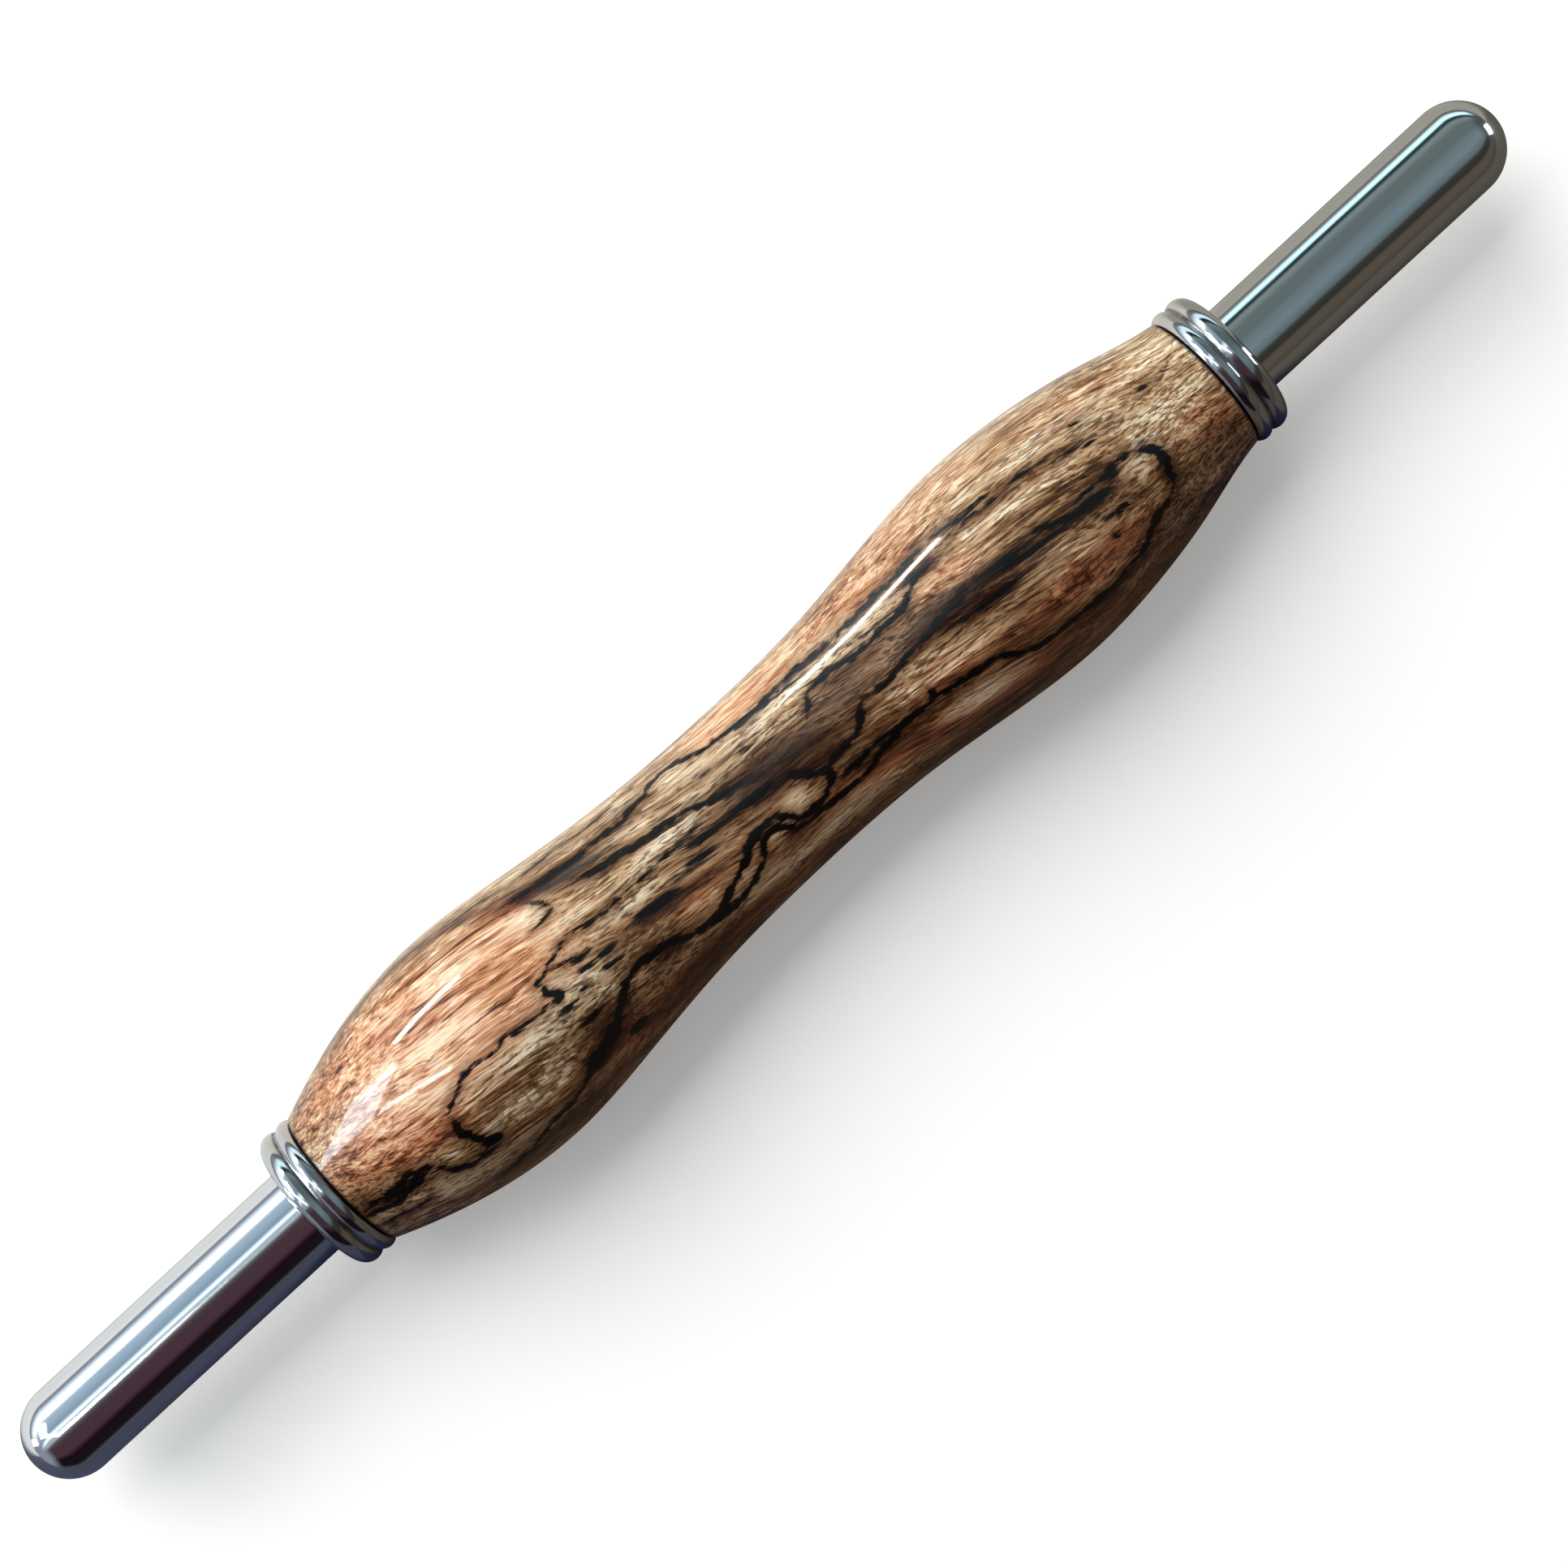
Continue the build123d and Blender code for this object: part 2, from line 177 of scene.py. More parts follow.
# Cracks and fine brown lines, in the same terms.
FINE_LINES = [
    (0.08, [(-34.8, -10.8), (-32.7, -11.3), (-31, -12), (-28.7, -11.4), (-26.4, -12.4)]),
    (0.06, [(-34.9, -13.6), (-32.5, -14.2), (-30, -15.2), (-27.6, -16.6), (-24.6, -18.8)]),
    (0.08, [(-34.9, -16.6), (-32.7, -17), (-30, -18.6), (-27, -20.6), (-24, -22)]),
    (0.06, [(-34.8, -19.6), (-32, -20.2), (-29.4, -21.8)]),
    (0.07, [(-34.8, -22.8), (-32.4, -23.4), (-30, -25), (-27.8, -26)]),
    (0.06, [(-31.4, -7.6), (-29.4, -8), (-27.2, -8.4), (-25, -9.6)]),
    (0.06, [(-27.6, -13.8), (-25.2, -15.2), (-22.6, -16.4), (-20, -15.6)]),
    (0.07, [(-29.3, -14.6), (-26.8, -17.4), (-24.3, -20.2), (-22.7, -21.4), (-19.4, -20.4), (-15, -18.6),
            (-11, -20.6)]),
    (0.06, [(-34.3, -27.2), (-32.7, -27.8), (-30.5, -29.4), (-28, -29)]),
    (0.06, [(-29.2, -20.6), (-26.3, -23.3), (-25, -25), (-24.4, -28.4), (-22.7, -31), (-20.6, -33)]),
    (0.06, [(-19.6, -12), (-17, -13), (-14, -13.6), (-11, -13)]),
    (0.06, [(-18.6, -8.6), (-16.4, -9.6), (-14, -10.4), (-11.6, -10.4)]),
    (0.05, [(-24, 13), (-21, 12), (-18, 13.6), (-15, 13), (-11, 14)]),
    (0.05, [(-18, 5), (-15, 4.6), (-12, 5.4), (-8, 5.6)]),
    (0.05, [(-10, -17), (-7, -17.6), (-5, -16.4)]),
    (0.06, [(6, 2), (9, 1), (12, 2.4), (16, 5), (20, 7)]),
    (0.05, [(5, -6), (9, -6), (13, -8), (18, -9.6), (22, -9)]),
    (0.05, [(9, -15), (13, -15.6), (17, -16.6), (21, -16.4)]),
    (0.05, [(16, -20), (19, -22), (23, -24), (27, -23.6)]),
    (0.05, [(-34, 12), (-30, 10.4), (-26, 10.6), (-23, 9)]),
    (0.05, [(-33, 22), (-29, 21), (-25, 19), (-22, 18.6)]),
    (0.05, [(-32, 30), (-28, 28.6), (-24, 27.6), (-21, 28)]),
    (0.05, [(-4, 30), (-1, 29.6), (2, 28.4), (5, 29)]),
    (0.05, [(-16, 56), (-10, 54.6), (-4, 55), (2, 53)]),
    (0.05, [(-33.3, -41), (-30, -41.6), (-27, -42.4), (-24.6, -43)]),
    (0.04, [(23, 13.4), (25.5, 11), (28, 10), (30, 9), (33, 8.3), (35.3, 9.5), (37, 11.8), (39, 14),
            (40.7, 17.2), (43, 20), (45, 22.8), (45.9, 28), (46.7, 34.4), (47.8, 41)]),
    (0.04, [(36, 3.4), (39, 2.8), (41, 4.4), (42.2, 7.2), (43.8, 9), (46, 9.6)]),
    (0.04, [(40.4, -1), (43, -2.2), (45.2, -1.6), (47.8, -1)]),
    (0.04, [(31.3, 34.4), (33.7, 37.8), (35.7, 40), (36.8, 41.8)]),
    (0.04, [(44.6, 56), (44.9, 50), (44.5, 44)]),
    (0.04, [(39.4, 66), (39.3, 60), (40.2, 56)]),
    (0.05, [(-34.2, 60), (-34.3, 54), (-34, 48), (-33.9, 43), (-33, 38)]),
    (0.04, [(-38.6, 57), (-38.2, 50), (-38.3, 44), (-38.2, 38)]),
    (0.04, [(-20, -17.4), (-17, -18), (-14, -17), (-12, -18.4)]),
    (0.04, [(-15.6, 2.4), (-14.8, 0.4), (-13.8, -1.4)]),
    (0.04, [(-6, 21), (-3, 21.6), (0, 21), (3, 21.2)]),
    (0.04, [(42.5, -14), (42.7, -21), (42.5, -29)]),
]
# Ink spots, where a colony wall lies in the surface: (mm along, degrees, half length, half width in mm).
INK_SPOTS = [
    (-12.1, -6.6, 2.0, 0.42), (-7.0, -4.0, 1.3, 0.28), (-5.6, 3.0, 2.2, 0.28), (-1.4, 0.6, 2.6, 0.34),
    (-19.2, -5.2, 0.8, 0.22), (-17.4, -6.4, 0.9, 0.26), (-17.6, -12.8, 1.0, 0.24),
    (-22.4, -13.2, 1.0, 0.30), (-19.2, 0.4, 0.9, 0.24), (-20.6, -12, 0.7, 0.15),
    (-21.6, -24.6, 1.1, 0.26), (-19.6, -50.2, 1.0, 0.55), (-9.0, -38.4, 1.2, 0.5),
    (14.8, -23.6, 0.35, 0.5), (20.6, -5.2, 0.9, 0.2), (25.4, 2.8, 2.6, 0.22), (27.4, -2.6, 3.2, 0.30),
    (23.4, -6.8, 2.2, 0.34), (33.8, -5.4, 1.9, 0.42), (36.3, -2.8, 0.6, 0.2), (34.9, -17.8, 0.9, 0.26),
    (33.5, -25.6, 0.5, 0.18), (31.4, 27.0, 1.5, 0.16), (35.4, 20.8, 1.4, 0.2), (36.7, 17.4, 0.5, 0.2),
    (42.9, 24.2, 0.5, 0.2), (-2.6, 31.8, 0.8, 0.2), (0.9, 26.4, 0.7, 0.14), (-33.9, -36.0, 0.9, 0.5),
    (-41.8, -30.4, 1.6, 0.30), (19.9, 27.8, 1.3, 0.32), (-11.9, 30.8, 0.8, 0.16),
    (12.2, -2.4, 0.9, 0.3), (37.0, 31.6, 0.5, 0.14), (24.0, 35.0, 2.6, 0.12),
]
# Smoke-grey stain and darker heartwood, and long bands of painted shade along the lower side near -60
# degrees: (mm along, degrees, half length, half width in mm, strength).
STAINS_AND_SHADE = [
    (2.6, 12, 4.8, 1.5, 1.0), (3, 2, 4.0, 1.2, 0.8), (-9.2, 25.4, 5.0, 0.75, 0.9),
    (3, -8, 5.0, 1.1, 0.4), (-16.4, 39, 4.4, 1.0, 0.55), (-18.6, 47, 4.0, 0.8, 0.5),
    (26, -1.2, 4.6, 0.8, 0.75), (23, -7, 3.0, 0.6, 0.8), (33.6, -5, 2.4, 0.8, 0.8),
    (20.4, 27.6, 1.7, 0.5, 0.75), (-12.2, -7, 2.6, 0.7, 0.6), (-5, 2.4, 4.0, 0.6, 0.7),
    (1, -2, 3.4, 1.0, 0.6), (-23, -43, 2.6, 1.3, 0.8), (-42, -29, 3.6, 1.3, 0.6),
    (10, 23.6, 2.6, 0.6, 0.5), (14, 5, 6.0, 1.4, 0.4), (8.4, 10, 3.0, 1.6, 0.5),
    (-2, 16, 3.0, 0.9, 0.6), (6, -10, 2.6, 1.0, 0.35), (-35, -26, 0.9, 1.4, 0.5),
    # the long bands near -60 degrees, here and below, are painted shade along the lower side
    (12, -31, 8.0, 1.0, 0.65), (-30, -62, 9.0, 2.6, 0.45), (0, -64, 22, 2.8, 0.4),
    (30, -58, 14, 2.8, 0.5), (20, -3, 3.6, 1.2, 0.6), (-9, 47.6, 3.6, 0.7, 0.4),
    # (-13, 63) on the next line is painted shade along the upper edge
    (-13.4, 34.4, 3.4, 1.1, 0.4), (-13, 63, 6.0, 1.0, 0.3), (30, 29, 4.4, 0.8, 0.2),
    (36, -40, 3.4, 1.3, 0.6), (39.9, -17, 0.9, 2.6, 0.4), (-31, -22, 3.0, 0.8, 0.2),
    (-13.4, -32, 3.6, 1.6, 0.75), (-14, -56, 7.0, 2.2, 0.45), (-8, -14, 4.0, 0.9, 0.4),
    (-1.4, -33, 3.0, 1.4, 0.65), (24, -19, 4.0, 1.2, 0.45), (24, -33, 4.0, 1.2, 0.4),
    (45, -34, 4.0, 2.6, 0.4), (22, 1, 3.4, 1.0, 0.5), (-44, -14, 3.0, 1.5, 0.35),
    (-21, -32, 2.4, 1.4, 0.7), (-8, -2, 3.4, 0.8, 0.4), (-22, 46, 2.4, 0.8, 0.3),
    (31, -26, 3.4, 1.0, 0.25), (16, -60, 6.0, 1.6, 0.4),
]
# Pale, punky sapwood left by the fungus, and long bands of painted sheen along the top edge near 75 degrees,
# in the same terms.
PALE = [
    (-1.5, 33, 5.6, 1.8, 1.0), (6, 34, 5.8, 1.6, 1.0), (-10, 37, 4.0, 0.9, 0.5),
    (-19, 5, 3.4, 1.0, 0.45), (-12, 1, 4.0, 0.8, 0.8), (-20.6, -9, 3.2, 1.6, 0.9),
    (-25.6, -11, 4.4, 1.1, 0.9), (-31, -13, 3.6, 0.9, 0.6), (-7, -8.4, 4.6, 0.6, 0.6),
    (-8, 15, 4.6, 1.4, 1.0), (-20.4, 32, 3.2, 1.7, 1.0), (14, -12, 6.0, 1.1, 0.5),
    (19, -14, 3.4, 0.9, 0.5), (28, -14, 4.0, 1.1, 0.6), (25, 46, 6.0, 1.8, 0.5),
    (26, 20, 5.4, 1.3, 0.5), (39, 32, 4.4, 1.8, 0.5), (38.6, -8, 1.8, 1.2, 0.8),
    (43.4, -10, 2.6, 1.6, 0.5), (13, 31, 6.0, 0.8, 0.6), (-33, 18, 9.0, 2.6, 0.4),
    (-4, 43, 3.0, 0.7, 0.5), (20, 56, 6.0, 1.6, 0.1), (-7, 58, 5.0, 0.8, 0.3),
    (1.6, -18, 1.4, 1.3, 0.6), (-16.8, -30, 1.4, 0.7, 0.6), (-1.6, -27.4, 0.9, 0.8, 0.5),
    # the long bands near 74 to 76 degrees, here and below, are painted sheen along the top edge
    (-2, 58, 5.0, 1.6, 0.3), (30, 74, 14, 1.8, 0.4), (-14, 52.6, 3.6, 0.5, 0.4),
    (-44, -37.6, 1.2, 0.5, 0.7), (-41.6, -38, 1.1, 0.5, 0.7), (10, 44, 5.0, 1.3, 0.6),
    (-28, -31, 5.0, 1.7, 0.75), (-18, 17, 4.0, 1.4, 0.5), (-29, 44, 7.0, 2.2, 0.25),
    (-40, 36, 5.0, 2.2, 0.2), (-34, 2, 5.0, 1.1, 0.6), (-26, 30, 5.0, 1.8, 0.35),
    (45, 26, 4.0, 2.6, 0.5), (46, 45, 3.4, 1.8, 0.6), (42, 8, 4.0, 1.4, 0.5), (43, 15, 4.0, 1.2, 0.1),
    (17, -45, 4.0, 1.4, 0.9), (-4, -46, 9.0, 1.2, 0.6), (-38, -45, 5.0, 1.2, 0.45),
    (-25, 76, 20, 1.8, 0.35), (35, 25, 4.0, 1.2, 0.3), (2, 74, 12, 1.4, 0.3),
]
# Orange-red heartwood, in the same terms.
WARM = [
    (-30, 14, 11, 3.6, 1.0), (-38, 44, 8, 2.6, 0.9), (-24, 22, 6, 2.4, 0.8), (-40, -3, 6, 2.2, 1.0),
    (-33, 45, 6, 2.2, 1.0), (-34, 0, 7, 1.6, 0.9), (1, 54, 5, 1.8, 1.0), (17, 44, 7, 1.6, 0.6),
    (28, -30, 5, 2.0, 0.9), (18, -22, 6, 1.6, 0.6), (-22, 42, 4, 1.8, 0.8), (22, 16, 5, 1.4, 0.6),
    (-38, -14, 5, 1.4, 0.7), (4, 57, 4, 1.6, 0.6), (34, -30, 4, 1.8, 0.7), (8, -42, 9, 1.8, 0.7),
    (-3, -33, 2, 1.2, 0.4), (22, 66, 12, 3.0, 0.6), (-9, -22, 4, 1.8, 0.6), (45, -18, 4, 2.6, 0.6),
    (-20, -52, 12, 2.6, 0.6), (24, -54, 14, 2.6, 0.7), (-8, -60, 16, 2.6, 0.5), (40, 44, 7, 3.0, 0.4),
    (10, 60, 12, 2.0, 0.4), (-30, 66, 12, 2.4, 0.4), (-4, -12, 4, 1.0, 0.4),
]
# Wood cut across its rays, where small square cells show, in the same terms.
RAYS = [
    (28.6, -28.5, 3.6, 1.5, 1.0), (22.6, -26.4, 1.8, 0.8, 0.7), (-27.4, -31, 4.6, 1.7, 1.0),
    (12.4, -17, 2.6, 0.7, 0.6), (-31.4, -34, 1.6, 0.9, 0.8),
]
# Fibres: (length and width in mm, detail, roughness, start) of bands, strands, hairs, streaks, pores
# and the feathering of the zone lines.
FIBRES = [
    (16, 1.7, 3.0, 0.6, 0.0), (8.0, 0.48, 3.0, 0.55, 0.31), (3.6, 0.16, 2.0, 0.5, 0.67),
    (6.5, 0.30, 2.0, 0.5, 0.45), (1.2, 0.2, 1.0, 0.5, 0.93), (2.2, 0.26, 3.0, 0.55, 0.12),
]
FIGURE_SEED = 41
BACK_LINES = 9
FAR = 2.0                                       # mm, past which the distance to a line matters no more


def blended_path(places, step):
    """Catmull-Rom curve through the places, sampled about every step mm along the tool or round it."""
    p = np.array(places, float)
    p = np.vstack([2 * p[0] - p[1], p, 2 * p[-1] - p[-2]])
    samples = []
    for a, b, c, d in zip(p, p[1:], p[2:], p[3:]):
        span = math.hypot(c[0] - b[0], math.radians(c[1] - b[1]) * HANDLE_RADIUS / MM)
        t = np.linspace(0, 1, max(2, round(span / step)), endpoint=False)[:, None]
        samples.append(0.5 * (2 * b + (c - a) * t + (2 * a - 5 * b + 4 * c - d) * t**2
                              + (3 * b - 3 * c + d - a) * t**3))
    return np.vstack([*samples, p[-2:-1]])


def wander(rng, count, step, lengths, amplitude):
    """A smooth random offset for each sample of a path: sines of these lengths in mm, random in phase."""
    along = np.arange(count) * step
    waves = [np.sin(2 * np.pi * along / length + rng.uniform(0, 2 * np.pi)) for length in lengths]
    return amplitude * np.sum(waves, axis=0) / len(lengths)


def wrapped(degrees):
    """The same angle between -180 and 180."""
    return (degrees + 180) % 360 - 180


def distance_to_lines(x, angle, radius, lines, rng, waver):
    """Distance in mm from each surface point to the nearest line, less the line's half width there.

    Each line wavers a little about its curve, swells and thins, and tapers off at both ends.
    The loop over batches only keeps the arrays small, as each holds the distances to all of a line.
    """
    step, taper = 0.12, 1.4
    nearest = np.full(x.shape, FAR)
    for half_width, places in lines:
        path = blended_path(places, step)
        count = len(path)
        ends = np.minimum(np.arange(count), np.arange(count)[::-1]) * step
        width = half_width * np.clip(0.2 + ends / taper, 0, 1)
        width *= 1 + 0.55 * wander(rng, count, step, (1.3, 2.9, 6.1), 1.0)
        path_x = path[:, 0] + wander(rng, count, step, (1.1, 2.7), waver)
        path_u = wander(rng, count, step, (0.9, 1.7, 3.9), waver)
        off = np.abs(wrapped(angle - path[:, 1].mean())) - np.ptp(path[:, 1]) / 2
        near = (x > path_x.min() - FAR) & (x < path_x.max() + FAR)
        near &= np.radians(off) * radius < FAR + waver
        near = np.flatnonzero(near)
        for start in range(0, len(near), BATCH):
            part = near[start:start + BATCH]
            du = np.radians(wrapped(angle[part, None] - path[:, 1])) * radius[part, None] - path_u
            gap = np.hypot(x[part, None] - path_x, du) - width
            nearest[part] = np.minimum(nearest[part], gap.min(axis=1))
    return nearest


def from_middle(x, angle, radius, at, degrees, slope):
    """Distances in mm from a place on the handle: along the tool, and across the grain at that slope."""
    dx = x - at
    return dx, np.radians(wrapped(angle - degrees)) * radius - dx * slope


def distance_to_spots(x, angle, radius, spots, slope):
    """Distance in mm to the nearest spot: a long ellipse that lies along the grain, at that slope."""
    nearest = np.full(x.shape, FAR)
    for at, degrees, half_length, half_width in spots:
        dx, du = from_middle(x, angle, radius, at, degrees, slope)
        nearest = np.minimum(nearest, (np.hypot(dx / half_length, du / half_width) - 1) * half_width)
    return nearest


def patches(x, angle, radius, places, slope):
    """Strength from 0 to 1 of soft oval patches along the grain, each a bell curve both ways."""
    clear = np.ones(x.shape)
    for at, degrees, half_length, half_width, strength in places:
        dx, du = from_middle(x, angle, radius, at, degrees, slope)
        clear *= 1 - strength * np.exp(-((dx / half_length) ** 2) - (du / half_width) ** 2)
    return 1 - clear


def back_lines(rng):
    """Zone lines for the side away from the top: long walls that wander round the handle."""
    lines = []
    for n in range(BACK_LINES):
        degrees = 100 + 160 * (n + 0.5) / BACK_LINES
        start = rng.uniform(-42, 4)
        end = min(start + rng.uniform(22, 44), 45)
        along = np.linspace(start, end, 9)
        swing = np.cumsum(rng.normal(0, 7, 9))
        lines.append((rng.uniform(0.14, 0.34), list(zip(along, degrees + swing - swing.mean()))))
    return lines


def back_patches(rng, count, strength):
    """Soft patches scattered over the side away from the top."""
    return [
        (rng.uniform(-44, 46), rng.uniform(95, 265), rng.uniform(3, 9), rng.uniform(0.8, 2.2),
         rng.uniform(0.3, 1) * strength)
        for _ in range(count)
    ]


def wood_figure(x, angle, radius, slope):
    """The handle's figure at each surface point, as named fields. Lengths in mm, angles in degrees."""
    rng = np.random.default_rng(FIGURE_SEED)
    lines = ZONE_AND_SHADE_LINES + back_lines(rng)
    ink = distance_to_lines(x, angle, radius, lines, rng, waver=0.09)
    ink = np.minimum(ink, distance_to_spots(x, angle, radius, INK_SPOTS, slope))
    return {
        "ink": ink,
        "crack": distance_to_lines(x, angle, radius, FINE_LINES, rng, waver=0.1),
        # the stain field also holds painted shade along the lower side, and the pale field a painted sheen
        # along the top edge
        "stain": patches(x, angle, radius, STAINS_AND_SHADE + back_patches(rng, 14, 0.8), slope),
        "pale": patches(x, angle, radius, PALE + back_patches(rng, 16, 0.9), slope),
        "warm": patches(x, angle, radius, WARM + back_patches(rng, 10, 0.8), slope),
        "rays": patches(x, angle, radius, RAYS, slope),
    }


# ---- Turned surfaces ----------------------------------------------------------------------
def arc(centre, radius, start, end, count):
    """count points on a circle in the (x, r) plane, from one angle to another, in degrees from +X."""
    a = np.radians(np.linspace(start, end, count))
    return np.column_stack([centre[0] + radius * np.cos(a), centre[1] + radius * np.sin(a)])


def stretch(start, end, count):
    """count points on a straight run, both ends included."""
    return np.linspace(start, end, count)


def joined(*runs):
    """Runs of points end to end, without the points that repeat."""
    points = np.vstack([np.atleast_2d(run) for run in runs])
    keep = np.ones(len(points), bool)
    keep[1:] = np.linalg.norm(np.diff(points, axis=0), axis=1) > SAME_POINT
    if np.linalg.norm(points[0] - points[-1]) < SAME_POINT:
        keep[-1] = False
    return points[keep]


def lathe(name, profile, columns, ripple=None, bunch=0.0):
    """A closed surface turned about X.

    The point for profile point (x, r) and angle a is (x, (r + d) sin a, (r + d) cos a), where
    the ripple function gives d from x, r and a. An outline that starts and ends on the axis gets
    a single point at each pole; any other is closed into a ring. bunch crowds the columns
    towards the top: a = t - bunch sin t for t evenly spaced.
    """
    profile = np.asarray(profile, float)
    x, r = profile.T
    area = np.sum(x * np.roll(r, -1) - np.roll(x, -1) * r)
    if area > 0:                                    # run it so that the faces point outwards
        profile = profile[::-1]
        x, r = profile.T
    poles = r[0] < 1e-9 and r[-1] < 1e-9
    t = np.arange(columns) * 2 * np.pi / columns
    a = t - bunch * np.sin(t)
    ring_x, ring_r = (x[1:-1], r[1:-1]) if poles else (x, r)
    grid_x = np.repeat(ring_x[:, None], columns, axis=1)
    grid_r = np.repeat(ring_r[:, None], columns, axis=1)
    grid_a = np.repeat(a[None, :], len(ring_x), axis=0)
    if ripple is not None:
        grid_r = grid_r + ripple(grid_x, grid_r, grid_a)
    points = np.stack([grid_x, grid_r * np.sin(grid_a), grid_r * np.cos(grid_a)], axis=-1).reshape(-1, 3)
    rows = len(ring_x)
    ids = np.arange(rows * columns).reshape(rows, columns)
    lower = ids if not poles else ids[:-1]
    upper = np.roll(ids, -1, axis=0) if not poles else ids[1:]
    quads = np.stack([lower, upper, np.roll(upper, -1, axis=1), np.roll(lower, -1, axis=1)], axis=-1)
    faces = quads.reshape(-1, 4).tolist()
    if poles:
        points = np.vstack([points, [x[0], 0, 0], [x[-1], 0, 0]])
        first, last = len(points) - 2, len(points) - 1
        start = np.stack([np.full(columns, first), ids[0], np.roll(ids[0], -1)], axis=-1)
        end = np.stack([ids[-1], np.full(columns, last), np.roll(ids[-1], -1)], axis=-1)
        faces += start.tolist() + end.tolist()
    mesh = bpy.data.meshes.new(name)
    mesh.from_pydata(points, [], faces)
    mesh.shade_smooth()
    mesh.set_sharp_from_angle(angle=math.radians(SHARP_EDGE))
    piece = bpy.data.objects.new(name, mesh)
    bpy.context.scene.collection.objects.link(piece)
    return piece


def coordinates(mesh):
    """x, y and z of a mesh's points."""
    co = np.empty(len(mesh.vertices) * 3)
    mesh.vertices.foreach_get("co", co)
    return co.reshape(-1, 3).T


def store(mesh, name, values):
    """Puts one number on each of a mesh's points."""
    layer = mesh.attributes.new(name, "FLOAT", "POINT")
    layer.data.foreach_set("value", values.astype(np.float32))


def place(piece, material, body, slot, *nodes):
    """Gives a piece its material and body, and hides the CAD nodes that it stands for. The slot is not used.
    """
    piece.data.materials.append(material)
    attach(piece, body)
    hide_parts(*nodes)


def outer_profile(node, lowest):
    """(x, r) of a turned node's rings that lie outside a radius, in order along X."""
    x, y, z = coordinates(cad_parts[node].data)
    r = np.hypot(y, z)
    x, r = x[r > lowest], r[r > lowest]
    rings = np.unique(np.round(x, 7))
    return rings, np.array([r[np.abs(x - ring) < 2 * SAME_POINT].max() for ring in rings])


def cubic_through(xs, ys, at):
    """Cubic Hermite interpolation through (xs, ys), with slopes from the neighbours."""
    slope = np.gradient(ys, xs)
    i = np.clip(np.searchsorted(xs, at) - 1, 0, len(xs) - 2)
    h = xs[i + 1] - xs[i]
    t = (at - xs[i]) / h
    return ((2 * t**3 - 3 * t**2 + 1) * ys[i] + (t**3 - 2 * t**2 + t) * h * slope[i]
            + (3 * t**2 - 2 * t**3) * ys[i + 1] + (t**3 - t**2) * h * slope[i + 1])


# ---- Shader arithmetic --------------------------------------------------------------------
class Value:
    """A socket that carries a number. Its operators add Math nodes."""

    def __init__(self, graph, socket):
        self.graph, self.socket = graph, socket

    def _with(self, operation, *others):
        return self.graph.number("ShaderNodeMath", {"operation": operation},
                                 dict(enumerate((self, *others))))

    def __add__(self, other):
        return self._with("ADD", other)

    def __sub__(self, other):
        return self._with("SUBTRACT", other)

    def __rsub__(self, other):
        return self.graph.number("ShaderNodeMath", {"operation": "SUBTRACT"}, {0: other, 1: self})

    def __mul__(self, other):
        return self._with("MULTIPLY", other)

    def __truediv__(self, other):
        return self._with("DIVIDE", other)

    __radd__, __rmul__ = __add__, __mul__

    def arctan2(self, other):
        return self._with("ARCTAN2", other)

    def root(self):
        return self._with("SQRT")

    def most(self, other):
        return self._with("MAXIMUM", other)

    def ramp(self, low, high):
        """Smoothly from 0 at low to 1 at high, and level beyond."""
        return self.graph.number("ShaderNodeMapRange", {"interpolation_type": "SMOOTHSTEP"},
                                 {0: self, 1: low, 2: high})


